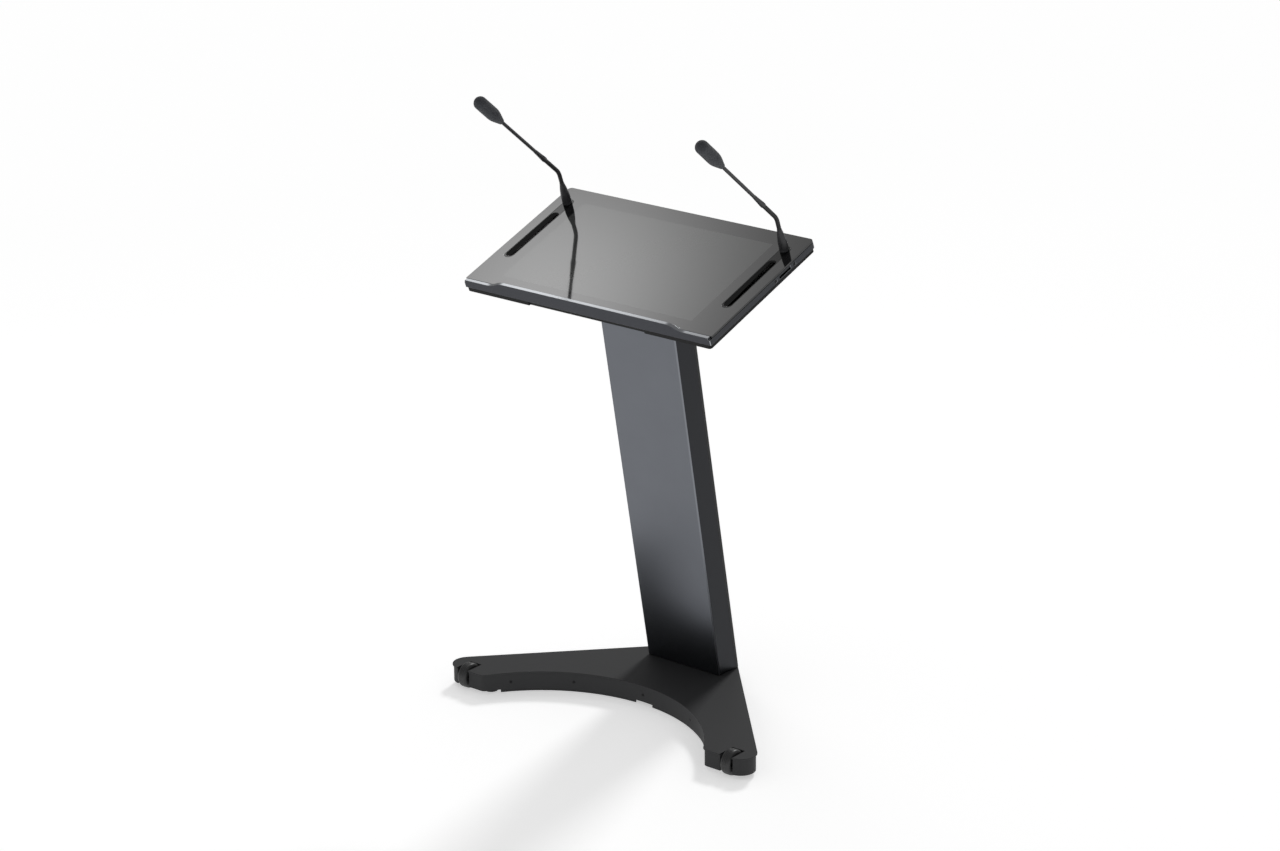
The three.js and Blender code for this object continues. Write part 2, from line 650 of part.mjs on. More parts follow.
/** Outline of the desk, moved inwards by `inset` all round. */
function deskPlan(inset) {
  const rear = DESK_REAR_CORNER - inset;
  const front = DESK_FRONT_CORNER - inset;
  return roundedRectangle(DESK_WIDTH - 2 * inset, DESK_DEPTH - 2 * inset, rear, 0, 0, front);
}

/** Aluminium band: a channel all round the glass, with the raised paper stop along the front. */
function deskFrame() {
  const top = -GLASS_THICKNESS - GASKET_THICKNESS - 2 * GAP;
  const band = prism(deskPlan(0), FRAME_BOTTOM, top);
  const middle = prism(
    roundedRectangle(DESK_WIDTH - 2 * FRAME_FLANGE, DESK_DEPTH - 2 * FRAME_FLANGE, 4),
    FRAME_BOTTOM - 5,
    top + 5,
  );
  const channel = prism(deskPlan(FRAME_WALL), FRAME_BOTTOM + FRAME_FLOOR, top - SHELF_THICKNESS);
  const right = DESK_WIDTH / 2;
  const slot = portSlot(right - FRAME_WALL - 1, right + 5);
  const relief = portBox(right - 1, right + 5, 0, PORT_SLOT_LENGTH / 2, PORT_LEVEL, top + 1);
  const holes = portScrewPlaces().flatMap((y) => [
    alongX(bar(PORT_SCREW_HEAD_RADIUS + GAP, right - PORT_SCREW_SINK, right + 3, 20), y),
    alongX(bar(PORT_SCREW_RADIUS + GAP, right - 8, right + 3, 12), y),
  ]);
  return cut(join(cut(band, middle, channel), paperStop(top)), slot, relief, ...holes);
}

/** Wall along the presenter's edge that rises over two ramps to its full height. */
function paperStop(bottom) {
  const end = DESK_WIDTH / 2 - DESK_FRONT_CORNER;
  const high = LIP_TOP_HALF_WIDTH;
  const outline = new THREE.Shape();
  outline.moveTo(-end, bottom - 1);
  outline.lineTo(end, bottom - 1);
  outline.lineTo(end, 0);
  outline.lineTo(high + LIP_RAMP, 0);
  outline.bezierCurveTo(high + LIP_RAMP / 2, 0, high + LIP_RAMP / 2, LIP_HEIGHT, high, LIP_HEIGHT);
  outline.lineTo(-high, LIP_HEIGHT);
  outline.bezierCurveTo(-high - LIP_RAMP / 2, LIP_HEIGHT, -high - LIP_RAMP / 2, 0, -high - LIP_RAMP, 0);
  outline.lineTo(-end, 0);
  outline.closePath();
  const wall = new THREE.ExtrudeGeometry(outline, {
    depth: LIP_THICKNESS,
    curveSegments: 10,
    bevelEnabled: false,
  });
  wall.rotateX(Math.PI / 2);
  return wall.translate(0, -DESK_DEPTH / 2 + LIP_THICKNESS, 0);
}

const portScrewPlaces = () => [-1, 1].map((end) => PORT_CENTER + (end * PORT_SCREW_SPACING) / 2);

/** Lays a piece made along +Z along +X, at the level of the ports. */
function alongX(geometry, y) {
  return geometry.rotateY(Math.PI / 2).translate(0, y, PORT_LEVEL);
}

/** Outline of the glass: the desk's outline, cut off behind the paper stop. */
function glassPlan(inset) {
  const width = DESK_WIDTH - 1 - 2 * inset;
  const depth = DESK_DEPTH - 0.5 - LIP_THICKNESS - GAP - 2 * inset;
  const shift = (LIP_THICKNESS + GAP - 0.5) / 2;
  return roundedRectangle(width, depth, DESK_REAR_CORNER - 1, 0, shift, DESK_FRONT_CORNER - 2);
}

/** Outline of a tray: a strip with round ends. */
function trayPlan(side, width) {
  const middle = (TRAY_FRONT + TRAY_REAR) / 2;
  const length = TRAY_REAR - TRAY_FRONT + width - TRAY_WIDTH;
  return roundedRectangle(width, length, width / 2 - 0.01, side * TRAY_X, middle);
}

function glassPanel() {
  const cutouts = [-1, 1].map((side) => prism(trayPlan(side, TRAY_WIDTH + 2 * GAP), -10, 5));
  return cut(prism(glassPlan(0), -GLASS_THICKNESS, 0), ...cutouts);
}

function glassGasket() {
  const top = -GLASS_THICKNESS - GAP;
  const ring = prism(glassPlan(1.2), top - GASKET_THICKNESS, top);
  return cut(ring, prism(glassPlan(12), top - 10, 5));
}

/** Insert in the glass: a pen groove with round ends, and a hole for the microphone's stub. */
function penTray(side) {
  const x = side * TRAY_X;
  const top = -0.2;
  const flange = -GLASS_THICKNESS - GAP;
  const body = join(
    prism(trayPlan(side, TRAY_WIDTH), flange - 1, top),
    prism(trayPlan(side, TRAY_WIDTH + TRAY_FLANGE), TRAY_BOTTOM, flange),
    bar(SOCKET_RADIUS, SOCKET_BOTTOM, TRAY_BOTTOM + 1, 20).translate(x, MIC_Y, 0),
  );
  const length = GROOVE_REAR - GROOVE_FRONT - 2 * GROOVE_RADIUS;
  const groove = new THREE.CapsuleGeometry(GROOVE_RADIUS, length, 4, 16);
  groove.translate(x, (GROOVE_FRONT + GROOVE_REAR) / 2, GROOVE_AXIS_HEIGHT);
  const hole = bar(MIC_STUB_RADIUS + GAP, MIC_STUB_BOTTOM - 1, 5).translate(x, MIC_Y, 0);
  return cut(body, groove, hole);
}

/** Black shell under the desk, set back in the middle of the presenter's edge. */
function undersideShell() {
  const top = FRAME_BOTTOM - GAP;
  const wall = SHELL_WALL;
  const floor = SHELL_BOTTOM + SHELL_FLOOR;
  const outer = cut(prism(shellPlan(0), SHELL_BOTTOM, top), shellSetback(0, SHELL_BOTTOM - 5, top + 5));
  const hollow = cut(prism(shellPlan(wall), floor, top + 5), shellSetback(wall, floor - 5, top + 10));
  const cableHole = bar(CABLE_HOLE_RADIUS, SHELL_BOTTOM - 5, floor + 5, 16);
  return cut(outer, hollow, cableHole);
}

/** Outline of the shell, moved inwards by `inset` all round. */
function shellPlan(inset) {
  const width = DESK_WIDTH - 2 * (SHELL_SIDE_INSET + inset);
  const depth = DESK_DEPTH - SHELL_FRONT_INSET - SHELL_REAR_INSET - 2 * inset;
  const shift = (SHELL_FRONT_INSET - SHELL_REAR_INSET) / 2;
  return roundedRectangle(width, depth, DESK_REAR_CORNER - SHELL_REAR_INSET - inset, 0, shift);
}

function shellSetback(margin, bottom, top) {
  const half = SETBACK_HALF_WIDTH + margin;
  return box([-half, -DESK_DEPTH, bottom], [half, -DESK_DEPTH / 2 + SETBACK_DEPTH + margin, top]);
}

function displayModule() {
  const top = -GLASS_THICKNESS - 0.6;
  return box(
    [-DISPLAY_WIDTH / 2, DISPLAY_SHIFT - DISPLAY_DEPTH / 2, top - DISPLAY_THICKNESS],
    [DISPLAY_WIDTH / 2, DISPLAY_SHIFT + DISPLAY_DEPTH / 2, top],
  );
}

/** Circuit board with a heat sink and a row of connectors. */
function mainBoard() {
  const bottom = SHELL_BOTTOM + SHELL_FLOOR + 1.3;
  const inBoard = bottom + 1;
  const board = box([-130, 30, bottom], [130, 140, bottom + 1.6]);
  const heatSink = box([-35, 65, inBoard], [35, 115, bottom + 7]);
  const connectors = [-110, -66, -22, 22, 66, 110].map((x) =>
    box([x - 9, 34, inBoard], [x + 9, 46, bottom + 6]),
  );
  return join(board, heatSink, ...connectors);
}

/** Housing behind the side slot, with two connector tongues in its pocket. */
function portModule() {
  const face = DESK_WIDTH / 2 - FRAME_WALL - GAP;
  const depth = 20;
  const pocketDepth = 14;
  const halfLength = 43;
  const bottom = FRAME_BOTTOM + FRAME_FLOOR + GAP;
  const body = portBox(face - depth, face, 0, halfLength, bottom, PORT_LEVEL + PORT_SLOT_HEIGHT / 2 + 0.8);
  const pocket = portSlot(face - pocketDepth, face + 1);
  const holes = portScrewPlaces().map((y) =>
    alongX(bar(PORT_SCREW_RADIUS + GAP, face - 12, face + 1, 12), y),
  );
  const tongues = [-10, 10].map((y) =>
    portBox(face - pocketDepth - 1, face - 6, y, 6, PORT_LEVEL - 0.9, PORT_LEVEL + 0.9),
  );
  return join(cut(body, pocket, ...holes), ...tongues);
}

/** Box between two values of X, `half` to either side of a place along the ports. */
function portBox(x0, x1, y, half, bottom, top) {
  return box([x0, PORT_CENTER + y - half, bottom], [x1, PORT_CENTER + y + half, top]);
}

function portSlot(x0, x1) {
  const half = PORT_SLOT_HEIGHT / 2;
  return portBox(x0, x1, 0, PORT_SLOT_LENGTH / 2, PORT_LEVEL - half, PORT_LEVEL + half);
}

function portScrew() {
  const right = DESK_WIDTH / 2;
  const tip = right - FRAME_WALL - 10;
  const seat = right - PORT_SCREW_SINK + GAP;
  const head = right - 0.1;
  const radius = PORT_SCREW_HEAD_RADIUS;
  const shank = [[0, tip], [PORT_SCREW_RADIUS, tip], [PORT_SCREW_RADIUS, seat]];
  return turned([...shank, [radius, seat], [radius, head], [0, head]], 20);
}

/** Plate between the column's head and the desk. */
function deskBracket() {
  const top = SHELL_BOTTOM - GAP;
  const plan = roundedRectangle(BRACKET_WIDTH, BRACKET_DEPTH, 12, 0, -1);
  return cut(prism(plan, top - BRACKET_THICKNESS, top), bar(CABLE_HOLE_RADIUS, -60, 0, 16));
}

function buildDesk(group) {
  place(group, "desk_frame", deskFrame(), ANODISED);
  place(group, "glass_panel", glassPanel(), GLASS);
  place(group, "glass_gasket", glassGasket(), RUBBER);
  place(group, "left_pen_tray", penTray(-1), BLACK_PLASTIC);
  place(group, "right_pen_tray", penTray(1), BLACK_PLASTIC);
  place(group, "underside_shell", undersideShell(), BLACK_PLASTIC);
  place(group, "display_module", displayModule(), BLACK_PLASTIC);
  place(group, "main_board", mainBoard(), BOARD);
  place(group, "port_module", portModule(), BLACK_PLASTIC);
  ["front", "rear"].forEach((end, i) => {
    place(group, `port_screw_${end}`, alongX(portScrew(), portScrewPlaces()[i]), BLACK_PLASTIC);
  });
  place(group, "desk_bracket", deskBracket(), STEEL);
}

// ---------------------------------------------------------------- microphones, in the desk's frame

/** Base that screws into the tray: a straight skirt, then a long taper to the neck. */
function micBase() {
  const stub = [[0, MIC_STUB_BOTTOM], [MIC_STUB_RADIUS, MIC_STUB_BOTTOM], [MIC_STUB_RADIUS, GAP]];
  const skirt = [[MIC_BASE_RADIUS, GAP], [MIC_BASE_RADIUS, 3], [MIC_BASE_RADIUS - 0.6, 25]];
  return turned([...stub, ...skirt, [NECK_RADIUS + 0.5, MIC_BASE_TOP], [0, MIC_BASE_TOP]]);
}

/** Stretch of flexible neck that starts with a ball, so that it can turn about the ball's centre. */
function neck(start, end) {
  const ball = arc(0, start, NECK_RADIUS, -90, 0, 22.5).map((p) => [Math.max(0, p.x), p.y]);
  return turned([...ball, [NECK_RADIUS, end], [0, end]], 16);
}

/** Foam windscreen: a long round-nosed body with a bore for the capsule, tapered at the back. */
function windscreen() {
  const nose = arc(0, FOAM_END - FOAM_RADIUS, FOAM_RADIUS, 0, 90, 18).map((p) => [Math.max(0, p.x), p.y]);
  const taper = [[6.8, 0], [8, 6], [11.6, 15], [14.1, 28], [14.9, 40]].map(([r, z]) => [r, FOAM_START + z]);
  const bore = CAPSULE_RADIUS + 0.6;
  const depth = FOAM_START + CAPSULE_LENGTH + 2;
  return turned([[0, depth], [bore, depth], [bore, FOAM_START], ...taper, ...nose], 24);
}

/** Ferrule that tapers from the end of the neck to the rod. */
function micCollar() {
  const start = NECK_END + GAP;
  const taper = [[COLLAR_RADIUS, start], [COLLAR_RADIUS, NECK_END + 7], [COLLAR_TIP_RADIUS, ROD_START]];
  return turned([[0, start], ...taper, [0, ROD_START]], 20);
}

function micCapsule() {
  const start = ROD_END + GAP;
  const end = FOAM_START + CAPSULE_LENGTH;
  const cone = [[ROD_RADIUS, start], [CAPSULE_RADIUS, ROD_END + CAPSULE_CONE]];
  return turned([[0, start], ...cone, [CAPSULE_RADIUS, end], [0, end]], 16);
}

function buildMicrophone(desk, side, label) {
  const foot = new THREE.Group();
  foot.position.set(side * TRAY_X, MIC_Y, 0);
  desk.add(foot);
  place(foot, `${label}_mic_base`, micBase(), ANODISED);
  const neckLower = bar(NECK_RADIUS, MIC_BASE_TOP + GAP, NECK_LOWER_TOP, 16);
  place(foot, `${label}_neck_lower`, neckLower, BLACK_PLASTIC);

  const rod = new THREE.Group();
  rod.position.z = MIC_BEND_HEIGHT;
  rod.rotation.x = rad(MIC_LEAN);
  foot.add(rod);
  place(rod, `${label}_neck_middle`, neck(0, NECK_PIVOT - NECK_RADIUS - 2 * GAP), BLACK_PLASTIC);
  place(rod, `${label}_neck_upper`, neck(NECK_PIVOT, NECK_END), BLACK_PLASTIC);
  place(rod, `${label}_mic_collar`, micCollar(), ANODISED);
  place(rod, `${label}_mic_rod`, bar(ROD_RADIUS, ROD_START + GAP, ROD_END, 16), ANODISED);
  place(rod, `${label}_mic_capsule`, micCapsule(), BLACK_PLASTIC);
  place(rod, `${label}_windscreen`, windscreen(), FOAM);
}

// ---------------------------------------------------------------- assembly

const lectern = new THREE.Group();
lectern.position.y = FOOTPRINT_SHIFT;
buildBase(lectern);
buildWheel(lectern, -1, "left");
buildWheel(lectern, 1, "right");
buildColumn(lectern);

const desk = new THREE.Group();
desk.position.set(0, DESK_CENTER_Y, DESK_CENTER_Z);
desk.rotation.x = rad(DESK_TILT);
lectern.add(desk);
buildDesk(desk);
buildMicrophone(desk, -1, "left");
buildMicrophone(desk, 1, "right");

export default lectern;
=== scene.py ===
"""Looks of the presentation lectern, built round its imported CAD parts. Metres, +Z up.

Plain CAD solids are refined: a copy with its flat facets merged, its edges rounded and its round faces
smooth stands for each one. Turned pieces, goosenecks, windscreens and wheels are built afresh from the
sizes of the CAD nodes that they stand for.
"""

import json
import math

import bmesh
import bpy
from mathutils import Matrix, Vector, noise


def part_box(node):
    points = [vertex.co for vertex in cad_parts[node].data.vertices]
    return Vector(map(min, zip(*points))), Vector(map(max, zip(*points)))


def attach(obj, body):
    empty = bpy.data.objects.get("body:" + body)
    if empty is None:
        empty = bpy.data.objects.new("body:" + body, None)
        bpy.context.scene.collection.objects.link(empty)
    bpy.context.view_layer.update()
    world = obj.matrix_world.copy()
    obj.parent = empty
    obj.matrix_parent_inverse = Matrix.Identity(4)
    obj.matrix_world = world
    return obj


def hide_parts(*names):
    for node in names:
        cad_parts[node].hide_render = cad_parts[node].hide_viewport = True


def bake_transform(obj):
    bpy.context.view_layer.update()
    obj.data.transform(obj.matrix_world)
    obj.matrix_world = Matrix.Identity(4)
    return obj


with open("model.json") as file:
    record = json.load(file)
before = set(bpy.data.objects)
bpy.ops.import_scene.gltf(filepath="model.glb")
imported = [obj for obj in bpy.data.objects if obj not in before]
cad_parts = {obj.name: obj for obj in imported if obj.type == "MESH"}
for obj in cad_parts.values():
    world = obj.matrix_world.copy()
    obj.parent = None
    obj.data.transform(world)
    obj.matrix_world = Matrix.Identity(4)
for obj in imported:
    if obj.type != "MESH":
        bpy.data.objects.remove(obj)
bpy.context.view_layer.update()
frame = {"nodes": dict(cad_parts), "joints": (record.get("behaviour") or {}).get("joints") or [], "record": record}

MM = 0.001
SIDES = ("left", "right")
X_AXIS = Vector((1, 0, 0))
Z_AXIS = Vector((0, 0, 1))
MOUNTS = {mount["name"]: mount for mount in frame["record"]["mounts"]}
JOINTS = {joint["name"]: joint for joint in frame["joints"]}
BODY_OF = {node: body for body, nodes in frame["record"]["behaviour"]["bodies"].items() for node in nodes}
SLOT_OF = {part["node"]: part["material_slot"] for part in frame["record"]["subparts"]}


# ---------------------------------------------------------------- places

def axes_at(origin, z_axis, x_axis=X_AXIS):
    """Matrix of a local frame: its Z along z_axis, its X as near to x_axis as it can be."""
    z = Vector(z_axis).normalized()
    y = z.cross(Vector(x_axis)).normalized()
    x = y.cross(z)
    rotation = Matrix((x, y, z)).transposed().to_4x4()
    return Matrix.Translation(Vector(origin)) @ rotation


def span(node, origin, axis):
    """Lowest and highest reach of a CAD node along an axis, measured from origin."""
    along = [(v.co - origin).dot(axis) for v in frame["nodes"][node].data.vertices]
    return min(along), max(along)


def girth(node, origin, axis):
    """Largest distance of a CAD node from an axis through origin."""
    largest = 0
    for v in frame["nodes"][node].data.vertices:
        offset = v.co - origin
        largest = max(largest, (offset - axis * offset.dot(axis)).length)
    return largest


DESK = axes_at(MOUNTS["desk_surface"]["pos_m"], MOUNTS["desk_surface"]["axis"])
DESK_UP = DESK.to_3x3().col[2]
DESK_BACK = DESK.to_3x3().col[1]
DESK_ORIGIN = DESK.translation
COLUMN_FRONT = Vector(MOUNTS["column_front"]["axis"])
COLUMN_UP = COLUMN_FRONT.cross(-X_AXIS)


# ---------------------------------------------------------------- materials

# Sockets of a Mix node that mixes two colours.
MIX_FACTOR = 0
MIX_FIRST = 6
MIX_SECOND = 7
MIX_RESULT = 2


class Shader:
    """A material with a principled shader, and short ways to add nodes to it."""

    def __init__(self, name):
        self.material = bpy.data.materials.new(name)
        self.material.use_nodes = True
        self.tree = self.material.node_tree
        self.principled = self.tree.nodes["Principled BSDF"]
        self.position = self.add("ShaderNodeTexCoord").outputs["Object"]

    def add(self, kind, **properties):
        node = self.tree.nodes.new(kind)
        for key, value in properties.items():
            setattr(node, key, value)
        return node

    def link(self, source, target):
        self.tree.links.new(source, target)

    def put(self, name, value):
        """Links an output to a socket of the principled shader, or sets a plain value."""
        if isinstance(value, bpy.types.NodeSocket):
            self.link(value, self.principled.inputs[name])
        else:
            self.principled.inputs[name].default_value = value

    def math(self, operation, a, b=0.0):
        node = self.add("ShaderNodeMath", operation=operation)
        for socket, value in zip(node.inputs, (a, b)):
            if isinstance(value, bpy.types.NodeSocket):
                self.link(value, socket)
            else:
                socket.default_value = value
        return node.outputs[0]

    def stretched(self, scale):
        """The position with each axis scaled, for grain that runs one way."""
        mapping = self.add("ShaderNodeMapping")
        mapping.inputs["Scale"].default_value = scale
        self.link(self.position, mapping.inputs["Vector"])
        return mapping.outputs["Vector"]

    def noise(self, size, detail=2.0, vector=None):
        """Noise whose blobs are about `size` metres across."""
        node = self.add("ShaderNodeTexNoise")
        node.inputs["Scale"].default_value = 1 / size
        node.inputs["Detail"].default_value = detail
        self.link(vector or self.position, node.inputs["Vector"])
        return node.outputs["Fac"]

    def spread(self, value, low, high):
        """Maps a 0 to 1 value to a range."""
        node = self.add("ShaderNodeMapRange")
        node.inputs["To Min"].default_value = low
        node.inputs["To Max"].default_value = high
        self.link(value, node.inputs["Value"])
        return node.outputs[0]

    def mix(self, factor, a, b):
        node = self.add("ShaderNodeMix", data_type="RGBA")
        self.link(factor, node.inputs[MIX_FACTOR])
        for socket, value in ((node.inputs[MIX_FIRST], a), (node.inputs[MIX_SECOND], b)):
            if isinstance(value, bpy.types.NodeSocket):
                self.link(value, socket)
            else:
                socket.default_value = (*value, 1)
        return node.outputs[MIX_RESULT]

    def bump(self, height, distance, strength=1.0):
        node = self.add("ShaderNodeBump")
        node.inputs["Strength"].default_value = strength
        node.inputs["Distance"].default_value = distance
        self.link(height, node.inputs["Height"])
        self.put("Normal", node.outputs["Normal"])


def scaled(color, factor):
    return tuple(channel * factor for channel in color)


def finish(name, color, roughness, metallic, grain, depth, specular=0.5):
    """A surface with fine grain, and with slight large-scale changes of colour and gloss.

    `grain` is the size of the grain's blobs and `depth` is how deep they are.
    """
    shader = Shader(name)
    cloud = shader.noise(60 * MM, 3)
    shader.put("Base Color", shader.mix(cloud, scaled(color, 0.94), scaled(color, 1.06)))
    fine = shader.noise(grain, 2)
    smudge = shader.math("ADD", shader.math("MULTIPLY", cloud, 0.7), shader.math("MULTIPLY", fine, 0.3))
    shader.put("Roughness", shader.spread(smudge, roughness - 0.04, roughness + 0.04))
    shader.put("Metallic", metallic)
    shader.put("Specular IOR Level", specular)
    shader.bump(fine, depth)
    return shader.material


# How much the pattern of draw lines is squeezed along each axis: least along the lines.
LINES_ALONG_X = (3, 900, 900)
LINES_ALONG_Y = (900, 3, 900)
LINES_ALONG_Z = (900, 900, 3)
COARSE_LINES = (500, 500, 20)


def brushed(name, color, roughness, lines_along):
    """Anodised metal with faint draw lines that run one way."""
    shader = Shader(name)
    lines = shader.noise(1.0, 3, shader.stretched(lines_along))
    cloud = shader.noise(90 * MM, 2)
    shader.put("Base Color", shader.mix(cloud, scaled(color, 0.95), scaled(color, 1.05)))
    shader.put("Roughness", shader.spread(lines, roughness - 0.03, roughness + 0.03))
    shader.put("Metallic", 1.0)
    shader.bump(lines, 0.004 * MM)
    return shader.material


def glass_finish(active_box):
    """Polished cover glass with a dark printed border round the display's active area."""
    shader = Shader("cover_glass")
    local = shader.add("ShaderNodeMapping", vector_type="TEXTURE")
    local.inputs["Location"].default_value = DESK_ORIGIN
    local.inputs["Rotation"].default_value = DESK.to_euler()
    shader.link(shader.position, local.inputs["Vector"])
    parts = shader.add("ShaderNodeSeparateXYZ")
    shader.link(local.outputs["Vector"], parts.inputs[0])
    (x_low, y_low), (x_high, y_high) = active_box
    inside = None
    for output, low, high in ((parts.outputs[0], x_low, x_high), (parts.outputs[1], y_low, y_high)):
        offset = shader.math("ABSOLUTE", shader.math("SUBTRACT", output, (low + high) / 2))
        within = shader.math("LESS_THAN", offset, (high - low) / 2)
        inside = within if inside is None else shader.math("MULTIPLY", inside, within)
    dust = shader.noise(25 * MM, 3)
    ink = shader.mix(dust, (0.005, 0.005, 0.0055), (0.007, 0.007, 0.0075))
    panel = shader.mix(dust, (0.050, 0.052, 0.051), (0.054, 0.056, 0.055))
    shader.put("Base Color", shader.mix(inside, ink, panel))
    shader.put("Roughness", shader.spread(dust, 0.05, 0.075))
    shader.put("IOR", 1.6)
    shader.put("Coat Weight", 0.5)
    shader.put("Coat Roughness", 0.04)
    return shader.material


def foam_finish():
    """Open-cell foam: small pores painted darker than the lighter threads between them, as painted shade in the
    holes.
    """
    shader = Shader("foam")
    pore_size = 0.75 * MM
    cells = shader.add("ShaderNodeTexVoronoi", feature="F1")
    cells.inputs["Scale"].default_value = 1 / pore_size
    shader.link(shader.position, cells.inputs["Vector"])
    pores = cells.outputs["Distance"]
    threads = shader.spread(pores, 0.0, 1.0)
    # Painted shade: the pores' darker colour stands for the shade inside the foam's holes.
    shader.put("Base Color", shader.mix(threads, (0.018, 0.019, 0.022), (0.068, 0.072, 0.083)))
    shader.put("Roughness", 0.95)
    shader.put("Sheen Weight", 0.12)
    shader.put("Sheen Roughness", 0.5)
    shader.bump(shader.math("ADD", pores, shader.noise(0.4 * MM, 2)), 0.25 * MM)
    return shader.material


def board_finish():
    """Circuit board: green mask with faint copper tracks."""
    shader = Shader("circuit_board")
    tracks_per_metre = 90
    tracks = shader.add("ShaderNodeTexBrick", offset=0.35)
    tracks.inputs["Scale"].default_value = tracks_per_metre
    tracks.inputs["Mortar Size"].default_value = 0.08
    tracks.inputs["Color1"].default_value = (0.010, 0.070, 0.030, 1)
    tracks.inputs["Color2"].default_value = (0.012, 0.090, 0.040, 1)
    tracks.inputs["Mortar"].default_value = (0.03, 0.16, 0.07, 1)
    shader.link(shader.position, tracks.inputs["Vector"])
    shader.put("Base Color", tracks.outputs["Color"])
    shader.put("Roughness", 0.4)
    shader.bump(tracks.outputs["Fac"], 0.03 * MM, 0.5)
    return shader.material


PAINT = finish("powder_paint", (0.038, 0.0385, 0.040), 0.58, 0.0, 0.7 * MM, 0.05 * MM, specular=0.2)
ANODISED = brushed("anodised_column", (0.143, 0.151, 0.168), 0.3, LINES_ALONG_Z)
# Painted shade: the column's sides are a darker copy of its anodised finish, darker because of how the light falls
# on them.
COLUMN_SIDE_PAINTED_SHADE = brushed("anodised_side_painted_shade", (0.023, 0.024, 0.027), 0.36, LINES_ALONG_Z)
# Painted highlight: the bevels along the column's front edges are a lighter copy of its anodised finish.
COLUMN_BEVEL_PAINTED_HIGHLIGHT = brushed("anodised_bevel_painted_highlight", (0.20, 0.21, 0.23), 0.3, LINES_ALONG_Z)
BAND = brushed("anodised_band", (0.048, 0.050, 0.057), 0.22, LINES_ALONG_X)
# Painted highlight: the top of the band and its front corners are a lighter copy of the band's finish.
BAND_TOP_PAINTED_HIGHLIGHT = brushed("band_top_painted_highlight", (0.30, 0.31, 0.325), 0.2, LINES_ALONG_X)
# Painted shade: the band's left and right sides are a darker copy of its finish, with draw lines along Y.
BAND_SIDE_PAINTED_SHADE = brushed("anodised_band_side_painted_shade", (0.038, 0.040, 0.045), 0.25, LINES_ALONG_Y)
TRAY = finish("pen_tray", (0.004, 0.004, 0.0045), 0.16, 0.0, 0.4 * MM, 0.003 * MM, specular=0.35)
SHELL = finish("underside_shell", (0.005, 0.005, 0.0055), 0.6, 0.0, 0.5 * MM, 0.03 * MM, specular=0.2)
GLASS_EDGE = finish("glass_edge", (0.004, 0.004, 0.005), 0.25, 0.0, 0.4 * MM, 0.002 * MM)
BLACK = finish("black_plastic", (0.012, 0.012, 0.013), 0.5, 0.0, 0.4 * MM, 0.03 * MM)
MIC_BODY = finish("microphone_body", (0.034, 0.034, 0.037), 0.42, 0.2, 0.3 * MM, 0.01 * MM)
SLEEVE = finish("neck_sleeve", (0.014, 0.014, 0.015), 0.55, 0.0, 0.3 * MM, 0.02 * MM)
RUBBER = finish("rubber", (0.016, 0.016, 0.016), 0.8, 0.0, 0.6 * MM, 0.05 * MM)
TREAD = finish("wheel_tread", (0.03, 0.03, 0.031), 0.44, 0.0, 1.2 * MM, 0.02 * MM)
STEEL = brushed("plain_steel", (0.45, 0.45, 0.46), 0.38, COARSE_LINES)
DARK_STEEL = finish("black_steel", (0.006, 0.006, 0.007), 0.45, 0.5, 0.3 * MM, 0.01 * MM)
BRIGHT = finish("plated_contact", (0.62, 0.60, 0.55), 0.25, 1.0, 0.3 * MM, 0.005 * MM)
FOAM = foam_finish()
BOARD = board_finish()

FINISH_OF_SLOT = {
    "painted_body": PAINT,
    "anodised": ANODISED,
    "black_plastic": BLACK,
    "black_screw": DARK_STEEL,
    "rubber": RUBBER,
    "tyre": TREAD,
    "steel": STEEL,
    "neck": SLEEVE,
    "foam": FOAM,
    "circuit_board": BOARD,
}


# ---------------------------------------------------------------- mesh helpers

WELD_DISTANCE = 0.002 * MM
FLAT_ANGLE = math.radians(0.4)  # facets that turn less than this from one to the next are one flat face
EDGE_ANGLE = math.radians(30)  # an edge that turns more than this is rounded
SHARP_ANGLE = math.radians(38)  # a corner that turns more than this isn't shaded smooth
ON_AXIS = 1e-7  # a ring with a smaller radius is a single point


def add_piece(name, bm, material, body, replaces=()):
    """Turns a bmesh, in the frame that all pieces share, into a piece that rides on a body."""
    bmesh.ops.recalc_face_normals(bm, faces=bm.faces)
    for face in bm.faces:
        face.smooth = True
    mesh = bpy.data.meshes.new(name)
    bm.to_mesh(mesh)
    bm.free()
    mesh.set_sharp_from_angle(angle=SHARP_ANGLE)
    mesh.materials.append(material)
    obj = bpy.data.objects.new(name, mesh)
    bpy.context.scene.collection.objects.link(obj)
    if body:
        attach(obj, body)
    if replaces:
        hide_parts(*replaces)
    return obj


def refined(node, width=0.6 * MM, segments=3, material=None, others=()):
    """Stands for a CAD node: flat facets merged, edges rounded by `width`, round faces smooth.

    `others` are pairs of a material and a test: faces that pass a test are given its material.
    """
    bm = bmesh.new()
    bm.from_mesh(frame["nodes"][node].data)
    bmesh.ops.remove_doubles(bm, verts=bm.verts, dist=WELD_DISTANCE)
    bmesh.ops.dissolve_limit(bm, angle_limit=FLAT_ANGLE, verts=bm.verts, edges=bm.edges)
    edges = [e for e in bm.edges if e.is_manifold and e.calc_face_angle(0) > EDGE_ANGLE]
    if width and edges:
        bmesh.ops.bevel(
            bm, geom=edges, offset=width, segments=segments, profile=0.5, affect="EDGES", clamp_overlap=False
        )
    bm.normal_update()
    for i, (_, test) in enumerate(others):
        for face in bm.faces:
            if test(face):
                face.material_index = i + 1
    slot = SLOT_OF[node]
    material = material or FINISH_OF_SLOT[slot]
    obj = add_piece(node + ".refined", bm, material, BODY_OF[node], [node])
    for other, _ in others:
        obj.data.materials.append(other)
    weighted = obj.modifiers.new("weighted", "WEIGHTED_NORMAL")
    weighted.keep_sharp = True


